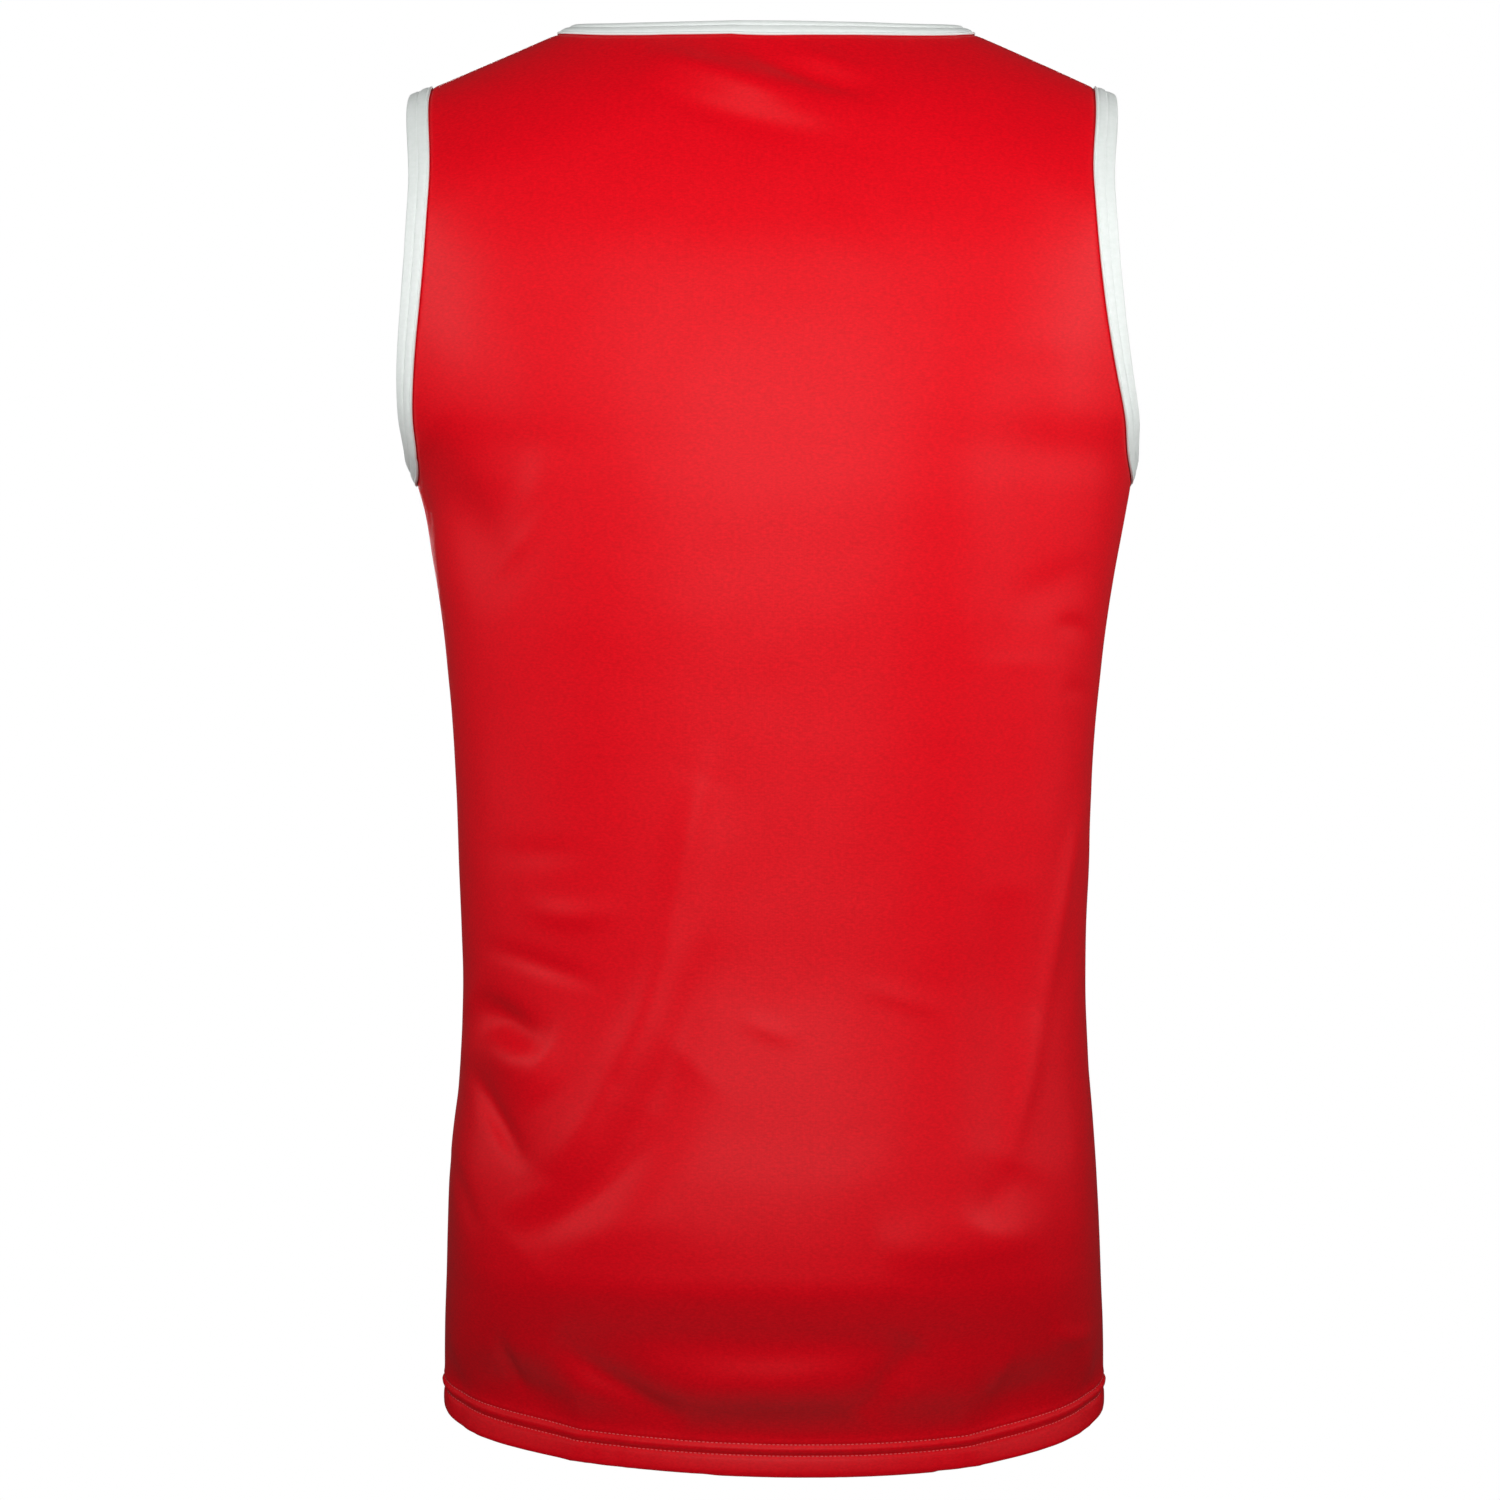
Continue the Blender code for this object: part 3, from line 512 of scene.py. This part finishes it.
def armhole_rows(side, base, neck_seam, arm_rim, arm_seam):
    """Rows of the left half above the underarm, the neck's seam line and the armhole's rim.

    Angles and falls are blended from the four edges: the base, the neck and shoulder, the panel's
    centre and the armhole.
    """
    size = np.sum(np.linalg.norm(np.diff(base, axis=0), axis=-1))
    shares = even_then_crowded(HALF_COLUMNS[side], SIDE_CROWDING, size)
    ending = round(NECK_SHARE * HALF_COLUMNS[side])
    neck = at_shares(neck_seam, lengths(neck_seam), np.linspace(0.0, 1.0, ending + 1))
    strap = arm_seam[-1, 0] - neck[-1, 0]
    steps = even_then_crowded(HALF_COLUMNS[side] - ending, 0.0, strap)[1:]
    across = neck[-1, 0] + strap * steps
    shoulder = np.stack([across, np.zeros_like(across), ridge(across)], axis=-1)

    def plane(points):
        return np.stack([angle_of(side, points), fall_of(points)], axis=-1)

    low, high, edge = plane(base), plane(np.concatenate([neck, shoulder])), plane(arm_seam)
    rise = lengths(arm_seam)
    centre = low[0] + (high[0] - low[0]) * rise[:, None]
    up, out = rise[:, None, None], shares[None, :, None]
    patch = (1 - up) * low + up * high + (1 - out) * centre[:, None] + out * edge[:, None]
    at_bottom = (1 - out) * (1 - up) * low[0] + out * (1 - up) * low[-1]
    patch -= at_bottom + (1 - out) * up * high[0] + out * up * high[-1]
    angles, falls = np.clip(patch[..., 0], 0.0, np.pi / 2), np.maximum(patch[..., 1], 0.0)
    dense = shell_point(side, angles, height_at(angles, falls))
    dense[:, -1] = arm_seam
    seam_size = np.sum(np.linalg.norm(np.diff(arm_seam, axis=0), axis=-1))
    even = np.linspace(0.0, 1.0, ARMHOLE_ROWS + 1)
    eased = even - RIM_CROWDING * np.sin(2 * np.pi * even) / (2 * np.pi)
    beside = 1.0 - np.array(BESIDE_SEAM) / seam_size
    levels = np.concatenate([eased * (1.0 - CALM_BESIDE / seam_size), beside])
    columns = [at_shares(dense[:, k], lengths(dense[:, k]), levels) for k in range(len(shares))]
    return np.stack(columns, axis=1), neck, at_shares(arm_rim, rise, levels)


def along_line(row, columns, x, z):
    """For one row of a fold table: how far along its line the places lie, and how far off it."""
    fold = dict(zip(columns, row))
    from_x, from_z = x - fold["start_x"], z - fold["start_z"]
    run_x, run_z = fold["end_x"] - fold["start_x"], fold["end_z"] - fold["start_z"]
    size = np.hypot(run_x, run_z)
    part = np.clip((from_x * run_x + from_z * run_z) / size ** 2, 0.0, 1.0)
    off = (from_z * run_x - from_x * run_z) / size - 4 * fold["bow"] * part * (1 - part)
    return fold, part, off


def calm(points, reach):
    """Rises from none at the seams between front and back to all at a distance from them."""
    fade = np.clip(np.abs(points[..., 1]) / reach, 0.0, 1.0)
    return fade ** 2 * (3 - 2 * fade)


def hem_level(side, points):
    """Height of the bottom edge under the points."""
    drop = HEM_DROP * np.sin(angle_of(side, points)) ** (2 / POWER * HEM_CURVE)
    return HEM_HEIGHT - drop + HEM_TILT * points[..., 0] * np.sin(angle_of(side, points)) ** 2


def fold_height(side, points):
    """How far the cloth's folds and creases raise the shell at the points."""
    x = points[..., 0] + section("lean", points[..., 2])
    z = points[..., 2]
    large, fine = np.zeros_like(x), np.zeros_like(x)
    for row in FOLDS[side]:
        fold, part, off = along_line(row, FOLD_COLUMNS, x, z)
        ends = np.sin(np.pi * part) ** FOLD_ENDS
        large += fold["height"] * ends * np.exp(-(off / fold["half_width"]) ** 2)
    for row in CREASES[side]:
        fold, part, off = along_line(row, CREASE_COLUMNS, x, z)
        width = np.where(off > 0, fold["half_width"], fold["other_width"])
        fine += fold["height"] * np.sin(np.pi * part) * np.exp(-(off / width) ** 2)
    above = z - hem_level(side, points)
    tuck = HEM_TUCK * np.exp(-((above - TUCK_HEIGHT) / TUCK_REACH) ** 2)
    kick = HEM_KICK * np.exp(-(above / TUCK_HEIGHT) ** 2)
    large = (large + kick - tuck) * calm(points, SEAM_CALM)
    return large + CREASE_HEIGHT * fine * calm(points, CREASE_CALM)


def unevenness(side, points):
    """The cloth's faint waves, and the hem's small gathers."""
    flat = points.reshape(-1, 3)
    total = np.zeros(len(flat))
    for height, length in WAVES:
        seed = Vector((length, length, length * SIGN[side]))
        total += height * np.array([noise.noise(Vector(place / length) + seed) for place in flat])
    above = flat[:, 2] - HEM_HEIGHT + HEM_DROP
    near_hem = np.exp(-(np.clip(above - PUCKER_TOP, 0.0, None) / PUCKER_FADE) ** 2)
    along = np.arctan2(flat[:, 1], flat[:, 0]) * PUCKER_RADIUS / PUCKER_PITCH * 2 * np.pi
    drift, drift_length = PUCKER_DRIFT
    gathers = np.sin(along + drift * np.sin(along / drift_length))
    steady, swell, swell_length = PUCKER_SWELL
    total += PUCKER * near_hem * gathers * (steady + swell * np.sin(along / swell_length))
    return total.reshape(points.shape[:-1]) * calm(points, CREASE_CALM)


def creased(side, points):
    """The points on the folded cloth, and the shell's normals there."""
    normals = outward(points)
    raised = fold_height(side, points) + unevenness(side, points)
    return points + normals * raised[..., None], normals


def between(start, end, share):
    """A part of the way from one array of points to another."""
    return start + (end - start) * share


def lap(rim, seam, share, up):
    """Points a share of the way in from the finished rim, and a distance up from the cloth."""
    normals = between(rim[1], seam[1], share)
    normals = normals / np.linalg.norm(normals, axis=-1, keepdims=True)
    return between(rim[0], seam[0], share) + normals * up


def mirrored(points):
    """The right half's copy of points on the left half."""
    return points * (-1.0, 1.0, 1.0)


def leaned(points):
    """Final places in metres: every level moved by its lean and its middle."""
    height = points[..., 2]
    none = np.zeros_like(height)
    move = np.stack([section("lean", height), section("middle", height), none], axis=-1)
    return (points + move) * METRES


def tilted(side, points):
    """The points moved up or down by the hem's tilt, which is none at the side seams."""
    moved = points.copy()
    depth = np.abs(points[..., 1]) / section(side, points[..., 2])
    fade = np.clip(1.0 - (points[..., 2] - HEM_HEIGHT) / HEM_TILT_REACH, 0.0, 1.0)
    moved[..., 2] += HEM_TILT * points[..., 0] * depth ** 2 * fade
    return moved


class Panel:
    """One body panel's rows of points, and the rims and seam lines of its openings."""

    def __init__(self, side):
        self.side = side
        rims = {"neck": neck_rim(side), "arm": armhole_rim(side)}
        neck_seam = seam_beside(rims["neck"], BINDING_WIDTH["neck"], NECK_MIDDLE)
        arm_seam = seam_beside(rims["arm"], BINDING_WIDTH["arm"], ARMHOLE_MIDDLE)
        body = body_rows(side)
        upper, neck, arm = armhole_rows(side, body[-1], neck_seam, rims["arm"], arm_seam)
        half = np.concatenate([body, upper[1:]])
        self.ending = len(neck) - 1
        shares = np.linspace(0.0, 1.0, self.ending + 1)
        neck_top = at_shares(rims["neck"], lengths(neck_seam), shares)
        self.sheet = tilted(side, np.concatenate([mirrored(half[:, :0:-1]), half], axis=1))
        self.neck = np.concatenate([mirrored(neck_top[:0:-1]), neck_top])
        self.arms = {"left": arm, "right": mirrored(arm)}
        self.first_arm_row = len(body) - 1
        edges = (neck_seam, mirrored(neck_seam), arm_seam, mirrored(arm_seam))
        self.bound_edges = np.concatenate(edges)

    def part_gap(self, points):
        """The points kept half a gap from the plane where front and back are sewn together."""
        moved = points.copy()
        near = np.abs(points[..., 1]) < SEAM_GAP / 2
        moved[..., 1] = np.where(near, SIGN[self.side] * SEAM_GAP / 2, points[..., 1])
        return moved

    def edge(self, name):
        """Rim and seam line of one opening, each as points and normals."""
        middle = self.sheet.shape[1] // 2
        if name == "neck":
            rim = self.neck
            seam = self.sheet[-1, middle - self.ending: middle + self.ending + 1]
        else:
            rim = self.arms[name]
            seam = self.sheet[self.first_arm_row:, -1 if name == "left" else 0]
        return creased(self.side, rim), creased(self.side, seam)

    def dips(self):
        """How far the outer face sinks beside the seams and the bindings' stitched edges."""
        tree = kdtree.KDTree(len(self.bound_edges))
        for number, place in enumerate(self.bound_edges):
            tree.insert(place, number)
        tree.balance()
        near = np.array([tree.find(place)[2] for place in self.sheet.reshape(-1, 3)])
        near = near.reshape(self.sheet.shape[:-1])
        from_seam = np.abs(self.sheet[..., 1])
        edge_dip = NEEDLE_DIP * np.exp(-(near / EDGE_REACH) ** 2)
        return edge_dip + SEAM_DIP * np.exp(-(from_seam / SEAM_REACH) ** 2)

    def skins(self):
        """Outer and inner points of the wall, rows by columns: not a number where no cloth is."""
        points, self.normals = creased(self.side, self.sheet)
        rows, columns = points.shape[:2]
        raised, wall = np.zeros(rows), np.full(rows, CLOTH)
        raised[:len(HEM)], wall[:len(HEM)] = HEM[:, 1], HEM[:, 2]
        lift = raised[:, None] - self.dips()
        outer = np.full((rows + 1, columns + 2, 3), np.nan)
        inner = outer.copy()
        outer[:-1, 1:-1] = points + self.normals * lift[..., None]
        inner[:-1, 1:-1] = points - self.normals * wall[:, None, None]
        first, middle = self.first_arm_row, columns // 2 + 1
        places = {
            "left": (slice(first, rows), columns + 1),
            "right": (slice(first, rows), 0),
            "neck": (rows, slice(middle - self.ending, middle + self.ending + 1)),
        }
        for name, place in places.items():
            rim, seam = self.edge(name)
            share = RAW_EDGE / BINDING_WIDTH["neck" if name == "neck" else "arm"]
            outer[place] = lap(rim, seam, share, -NEEDLE_DIP)
            inner[place] = lap(rim, seam, share, -CLOTH)
        return self.part_gap(outer), self.part_gap(inner)


def grid_mesh(rows, columns):
    """A flat grid whose points remember their row and column in a layer called place."""
    mesh = bmesh.new()
    bmesh.ops.create_grid(mesh, x_segments=columns - 1, y_segments=rows - 1, size=1.0)
    place = mesh.verts.layers.int.new("place")
    for point in mesh.verts:
        column = round((point.co.x + 1) / 2 * (columns - 1))
        row = round((point.co.y + 1) / 2 * (rows - 1))
        point[place] = row * columns + column
    return mesh, place


def cloth_lengths(rows):
    """Centimetres across and up the cloth at every point of a grid, from its middle column."""
    middle = rows.shape[1] // 2
    across = np.linalg.norm(np.diff(rows, axis=1), axis=-1)
    across = np.concatenate([np.zeros((len(rows), 1)), np.nancumsum(across, axis=1)], axis=1)
    up = np.linalg.norm(np.diff(rows[:, middle], axis=0), axis=-1)
    up = np.concatenate([[0.0], np.nancumsum(up)])
    up = np.broadcast_to(up[:, None], across.shape)
    return np.stack([across - across[:, middle:middle + 1], up], axis=-1) / MM_PER_CM


def lay_on_places(mesh, place, places, cloth):
    """Moves a grid's points to their places and lays its cloth map on its corners."""
    sewn = mesh.loops.layers.uv.new("cloth")
    for face in mesh.faces:
        for corner in face.loops:
            corner[sewn].uv = cloth[corner.vert[place]]
    for point in mesh.verts:
        point.co = places[point[place]]


SHARP_ANGLE = 60            # degrees: an edge sharper than this isn't shaded smooth
WELD = 1e-7                 # metres: points closer than this become one


def finished_piece(name, mesh, material):
    """A smooth shaded object at the origin that rides on the garment."""
    data = bpy.data.meshes.new(name)
    mesh.to_mesh(data)
    mesh.free()
    data.materials.append(material)
    data.shade_smooth()
    data.set_sharp_from_angle(angle=np.radians(SHARP_ANGLE))
    made = bpy.data.objects.new(name, data)
    bpy.context.scene.collection.objects.link(made)
    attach(made, "root")
    return made


def cut_panel(name, panel, material):
    """One body panel: its outer skin as a cut grid, extruded to its inner skin."""
    outer, inner = panel.skins()
    panel.outer = outer
    rows, columns = outer.shape[:2]
    mesh, place = grid_mesh(rows, columns)
    missing = np.isnan(outer[..., 0]).ravel()
    cut_away = [point for point in mesh.verts if missing[point[place]]]
    bmesh.ops.delete(mesh, geom=cut_away, context="VERTS")
    made = bmesh.ops.extrude_face_region(mesh, geom=mesh.faces[:])
    for piece in made["geom"]:
        if isinstance(piece, bmesh.types.BMVert):
            piece[place] += rows * columns
    places = np.concatenate([leaned(skin).reshape(-1, 3) for skin in (outer, inner)])
    cloth = cloth_lengths(outer).reshape(-1, 2)
    lay_on_places(mesh, place, places, np.concatenate([cloth, cloth]))
    bmesh.ops.recalc_face_normals(mesh, faces=mesh.faces)
    return finished_piece(name, mesh, material)


# Outline of a folded binding's outer leg: distance in from its free edge, distance up
OUTER_LEG = (
    (0.04, 0.1), (0.0, 0.4), (0.05, 0.72), (0.22, 0.98), (0.5, 1.1), (0.85, 1.04), (1.12, 0.88),
    (1.4, 0.76), (1.68, 0.88), (2.0, 1.1), (2.5, 1.28), (3.3, 1.36), (4.2, 1.38), (5.0, 1.33),
    (5.5, 1.2), (5.85, 1.0), (6.05, 0.85), (6.2, 0.78), (6.35, 0.85), (6.6, 1.02), (7.0, 1.2),
    (7.5, 1.3),
)
LEG_NEEDLES = (7, 17)       # points of OUTER_LEG that carry stitches
LEG_TOP = 1.31              # how high the leg is halfway between OUTER_LEG and the roll
ROLL = 1.9                  # radius of the binding's roll over the rim
ROLL_STEPS = 12
LEG_GAP = 0.1               # left between the binding's inner face and the panel
FOLD_SLACK = 0.3            # left between the fold and the panel's raw edge


def binding_outline(width):
    """The folded binding's closed section: distance in from the rim, distance up from the cloth."""
    half = [(width - inward, up) for inward, up in OUTER_LEG]
    half.append(((half[-1][0] + ROLL) / 2, LEG_TOP))
    turns = np.linspace(0.0, np.pi / 2, ROLL_STEPS // 2 + 1)
    half += [(ROLL - ROLL * np.sin(turn), -CLOTH / 2 + ROLL * np.cos(turn)) for turn in turns]
    lower = [(inward, -CLOTH - up) for inward, up in reversed(half[:-1])]
    inner = RAW_EDGE - FOLD_SLACK
    return half + lower + [(inner, -CLOTH - LEG_GAP), (inner, LEG_GAP)]


def fold_binding(name, opening, back, front, material):
    """One binding: its section carried round an opening, over both panels' raw edges."""
    parts = []
    for panel in (back, front):
        rim, seam = panel.edge(opening)
        parts.append(np.stack([*rim, *seam]))
    # the front's stations run back again, and the two stations on each seam plane are one
    loop = np.concatenate([parts[0], parts[1][:, -2:0:-1]], axis=1)
    rim, seam = (loop[0], loop[1]), (loop[2], loop[3])
    width = BINDING_WIDTH["neck" if opening == "neck" else "arm"]
    outline = binding_outline(width)
    rings = np.stack([lap(rim, seam, inward / width, up) for inward, up in outline], axis=1)
    rings = np.concatenate([rings, rings[:1]])
    rings = np.concatenate([rings, rings[:, :1]], axis=1)
    mesh, place = grid_mesh(*rings.shape[:2])
    lay_on_places(mesh, place, leaned(rings).reshape(-1, 3), cloth_lengths(rings).reshape(-1, 2))
    bmesh.ops.remove_doubles(mesh, verts=mesh.verts, dist=WELD)
    bmesh.ops.recalc_face_normals(mesh, faces=mesh.faces)
    made = finished_piece(name, mesh, material)
    ups = loop[3] / np.linalg.norm(loop[3], axis=-1, keepdims=True)
    courses = [leaned(rings[:, number]) for number in LEG_NEEDLES]
    return made, courses, np.concatenate([ups, ups[:1]])


# Stitches: pitch, length, width and height of one, and how far it sinks into its groove
HEM_STITCH = (2.1, 1.75, 0.5, 0.42, 0.02)
BINDING_STITCH = (2.4, 2.0, 0.42, 0.34, 0.02)


def sew(name, runs, stitch, thread):
    """Rows of stitches along runs, which are courses of points on the cloth with their normals."""
    pitch, long, wide, high, sunk = (size * METRES for size in stitch)
    mesh = bmesh.new()
    for course, ups in runs:
        steps = np.linalg.norm(np.diff(course, axis=0), axis=-1)
        along = np.concatenate([[0.0], np.cumsum(steps)])
        count = int(along[-1] / pitch)
        for middle in (np.arange(count) + 0.5) * along[-1] / count:
            places = np.array([middle - pitch / 2, middle, middle + pitch / 2])
            start, centre, end = at_shares(course, along, places)
            up = Vector(at_shares(ups, along, np.array([middle]))[0])
            forward = Vector(end - start).normalized()
            side = up.cross(forward).normalized()
            up = forward.cross(side)
            turn = Matrix((forward * long, side * wide, up * high)).transposed().to_4x4()
            place = Matrix.Translation(Vector(centre) - up * sunk)
            bmesh.ops.create_icosphere(mesh, subdivisions=1, radius=0.5, matrix=place @ turn)
    return finished_piece(name, mesh, thread)


def hem_runs(panel):
    """The two needle rows of one panel's hem, as courses of points with their normals."""
    rows = (LOWER_NEEDLE, UPPER_NEEDLE)
    return [(leaned(panel.outer[row, 1:-1]), panel.normals[row]) for row in rows]


# Finishes: each pair of colours is the darker and the lighter of its patches
RED = ((0.65, 0.0006, 0.0070), (0.81, 0.0012, 0.0090))
WHITE = ((0.79, 0.84, 0.81), (0.84, 0.88, 0.86))
THREAD_RED = ((0.78, 0.07, 0.08), (0.90, 0.17, 0.17))
THREAD_WHITE = ((0.80, 0.84, 0.82), (0.88, 0.90, 0.89))
PALE = ((0.78, 0.78, 0.77), (0.82, 0.82, 0.81))
PURE_WHITE = (1.0, 1.0, 1.0)
SHEEN_ROUGHNESS = 0.45
PATCH_DETAIL = 3.0
PATCH_ROUGHNESS = 0.6
PATCH_SQUASH = (1.0, 1.0, 2.0)      # patches are half as high as they are wide
PATCH_RANGE = (0.3, 0.7)            # part of the noise over which one colour turns to the other
PATCH_HEIGHT = 1.5                  # how much the patches raise the bump beside the knit's loops
WAVE_PERIOD = 2 * np.pi / 20.0      # of a wave texture's bands at scale 1
WAVE_DISTORTION = 0.6
WAVE_DETAIL = 1.0
BUMP_STRENGTH = 0.6
KNIT_DEPTH = 0.00003                # height of the loops in metres


def new_finish(name, roughness, sheen, sheen_tint, gloss):
    """A principled material with its constants set on its own sockets."""
    made = bpy.data.materials.new(name)
    made.use_nodes = True
    surface = made.node_tree.nodes["Principled BSDF"]
    surface.inputs["Roughness"].default_value = roughness
    surface.inputs["Sheen Weight"].default_value = sheen
    surface.inputs["Sheen Roughness"].default_value = SHEEN_ROUGHNESS
    surface.inputs["Sheen Tint"].default_value = (*sheen_tint, 1.0)
    surface.inputs["Specular IOR Level"].default_value = gloss
    return made, surface


def mottled(made, surface, darker, lighter, size):
    """Base colour that wanders over patches of a size in metres. Gives back their noise."""
    nodes, links = made.node_tree.nodes, made.node_tree.links
    where = nodes.new("ShaderNodeTexCoord")
    patches = nodes.new("ShaderNodeTexNoise")
    patches.inputs["Scale"].default_value = 1.0 / size
    patches.inputs["Detail"].default_value = PATCH_DETAIL
    patches.inputs["Roughness"].default_value = PATCH_ROUGHNESS
    flattened = nodes.new("ShaderNodeMapping")
    flattened.inputs["Scale"].default_value = PATCH_SQUASH
    links.new(where.outputs["Object"], flattened.inputs["Vector"])
    links.new(flattened.outputs["Vector"], patches.inputs["Vector"])
    shades = nodes.new("ShaderNodeValToRGB")
    stops = zip(shades.color_ramp.elements, PATCH_RANGE, (darker, lighter))
    for stop, position, colour in stops:
        stop.position, stop.color = position, (*colour, 1.0)
    links.new(patches.outputs["Fac"], shades.inputs["Fac"])
    links.new(shades.outputs["Color"], surface.inputs["Base Color"])
    return patches


def knitted(made, surface, patches, wale, course):
    """Bump of the knit's wales and courses, in centimetres on the cloth map, over the patches."""
    nodes, links = made.node_tree.nodes, made.node_tree.links
    sewn = nodes.new("ShaderNodeUVMap")
    sewn.uv_map = "cloth"
    heights = []
    for direction, pitch in (("X", wale), ("Y", course)):
        waves = nodes.new("ShaderNodeTexWave")
        waves.bands_direction = direction
        waves.inputs["Scale"].default_value = WAVE_PERIOD / pitch
        waves.inputs["Distortion"].default_value = WAVE_DISTORTION
        waves.inputs["Detail"].default_value = WAVE_DETAIL
        links.new(sewn.outputs["UV"], waves.inputs["Vector"])
        heights.append(waves.outputs["Fac"])
    loops = nodes.new("ShaderNodeMath")
    loops.operation = "MULTIPLY"
    links.new(heights[0], loops.inputs[0])
    links.new(heights[1], loops.inputs[1])
    height = nodes.new("ShaderNodeMath")
    height.operation = "MULTIPLY_ADD"
    height.inputs[1].default_value = PATCH_HEIGHT
    links.new(patches.outputs["Fac"], height.inputs[0])
    links.new(loops.outputs[0], height.inputs[2])
    bump = nodes.new("ShaderNodeBump")
    bump.inputs["Strength"].default_value = BUMP_STRENGTH
    bump.inputs["Distance"].default_value = KNIT_DEPTH
    links.new(height.outputs[0], bump.inputs["Height"])
    links.new(bump.outputs["Normal"], surface.inputs["Normal"])


red_knit, surface = new_finish("red_knit", 0.45, 0.04, (1.0, 0.6, 0.6), gloss=0.13)
patches = mottled(red_knit, surface, *RED, size=0.0018)
knitted(red_knit, surface, patches, wale=0.075, course=0.06)
white_knit, surface = new_finish("white_binding", 0.6, 0.2, PURE_WHITE, gloss=0.35)
patches = mottled(white_knit, surface, *WHITE, size=0.004)
knitted(white_knit, surface, patches, wale=0.07, course=0.05)
red_thread, surface = new_finish("red_thread", 0.45, 0.2, (1.0, 0.7, 0.7), gloss=0.5)
mottled(red_thread, surface, *THREAD_RED, size=0.001)
white_thread, surface = new_finish("white_thread", 0.45, 0.2, PURE_WHITE, gloss=0.5)
mottled(white_thread, surface, *THREAD_WHITE, size=0.001)

# The garment
panels = {side: Panel(side) for side in ("back", "front")}
SHEETS = {"back": ((0.46, 0.705), 0.300), "front": ((0.44, 0.68), 0.283)}
for side, panel in panels.items():
    body = cut_panel(side + "_cloth", panel, red_knit)
    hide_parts(side)
    hem = sew(side + "_hem_stitches", hem_runs(panel), HEM_STITCH, red_thread)
    flat, area = SHEETS[side]

BINDINGS = {
    "neck_binding": ("neck", (0.031, 0.53), 0.0154),
    "armhole_binding_left": ("left", (0.0285, 0.525), 0.0139),
    "armhole_binding_right": ("right", (0.0285, 0.525), 0.0139),
}
for node, (opening, flat, area) in BINDINGS.items():
    bound, courses, ups = fold_binding(node + "_cloth", opening, *panels.values(), white_knit)
    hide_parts(node)
    runs = [(course, ups) for course in courses]
    rows = sew(node + "_stitches", runs, BINDING_STITCH, white_thread)

# Floor, light and camera
FLOOR_HEIGHT = -1.42        # where a wearer's feet would stand
FLOOR_RADIUS = 0.8
scene = bpy.context.scene
scene.view_settings.view_transform = "Standard"

# a round sheet under the garment
mesh = bmesh.new()
under = Matrix.Translation((0.0, 0.0, FLOOR_HEIGHT))
bmesh.ops.create_circle(mesh, cap_ends=True, segments=128, radius=FLOOR_RADIUS, matrix=under)
data = bpy.data.meshes.new("studio_floor")
mesh.to_mesh(data)
mesh.free()
floor = bpy.data.objects.new("studio_floor", data)
scene.collection.objects.link(floor)
pale, surface = new_finish("pale_floor", 0.8, 0.0, PURE_WHITE, gloss=0.2)
mottled(pale, surface, *PALE, size=0.4)
data.materials.append(pale)


def soft_light(name, place, aim, size, watts, spread=np.pi):
    """A large rectangular light that points at a place.

    A small spread, in radians, keeps its light near its axis.
    """
    light = bpy.data.lights.new(name, "AREA")
    light.shape = "RECTANGLE"
    light.size, light.size_y = size
    light.energy, light.spread = watts, spread
    lamp = bpy.data.objects.new(name, light)
    lamp.location = place
    lamp.rotation_euler = (Vector(aim) - Vector(place)).to_track_quat("-Z", "Y").to_euler()
    lamp.visible_camera = False
    scene.collection.objects.link(lamp)


CHEST = (0.0, 0.0, -0.3)
SHOULDERS = (0.0, 0.0, -0.2)
WAIST = (0.0, 0.0, -0.4)
FLOOR_MIDDLE = (0.0, 0.0, FLOOR_HEIGHT)
SIDE_LAMP = (0.5, 0.5)
soft_light("light_on_the_back", (0.0, 1.2, -0.04), CHEST, (0.8, 0.8), watts=10.2)
soft_light("light_on_the_left", (1.1, 0.6, 0.1), SHOULDERS, SIDE_LAMP, watts=0.72, spread=1.0)
soft_light("light_on_the_right", (-1.1, 0.6, 0.1), SHOULDERS, SIDE_LAMP, watts=0.9, spread=1.0)
soft_light("light_past_the_left", (1.4, 0.0, -0.1), WAIST, SIDE_LAMP, watts=0.14, spread=0.9)
soft_light("light_past_the_right", (-1.4, 0.0, -0.1), WAIST, SIDE_LAMP, watts=0.2, spread=0.9)
soft_light("light_on_the_front", (0.1, -1.1, 0.05), CHEST, (0.8, 0.6), watts=11.0)
soft_light("light_on_the_floor", (0.0, 0.0, -0.78), FLOOR_MIDDLE, (0.6, 0.6), watts=0.7)

# The picture's background is white, and the cloth is lit by only a little of it
ROOM_LIGHT = 0.03
world = bpy.data.worlds.new("studio")
world.use_nodes = True
nodes, links = world.node_tree.nodes, world.node_tree.links
around = nodes["Background"]
around.inputs["Color"].default_value = (*PURE_WHITE, 1.0)
around.inputs["Strength"].default_value = ROOM_LIGHT
seen = nodes.new("ShaderNodeBackground")
seen.inputs["Color"].default_value = (*PURE_WHITE, 1.0)
seen.inputs["Strength"].default_value = 1.0
rays = nodes.new("ShaderNodeLightPath")
either = nodes.new("ShaderNodeMixShader")
links.new(rays.outputs["Is Camera Ray"], either.inputs["Fac"])
links.new(around.outputs["Background"], either.inputs[1])
links.new(seen.outputs["Background"], either.inputs[2])
links.new(either.outputs["Shader"], nodes["World Output"].inputs["Surface"])
scene.world = world

# The camera stands behind the wearer, level with the middle of the garment
camera_data = bpy.data.cameras.new("camera")
camera_data.lens, camera_data.sensor_width = 96.0, 36.0
camera = bpy.data.objects.new("camera", camera_data)
camera.location = (0.010, 2.0, -0.342)
camera.rotation_euler = (np.pi / 2, 0.0, np.pi)
scene.collection.objects.link(camera)
scene.camera = camera
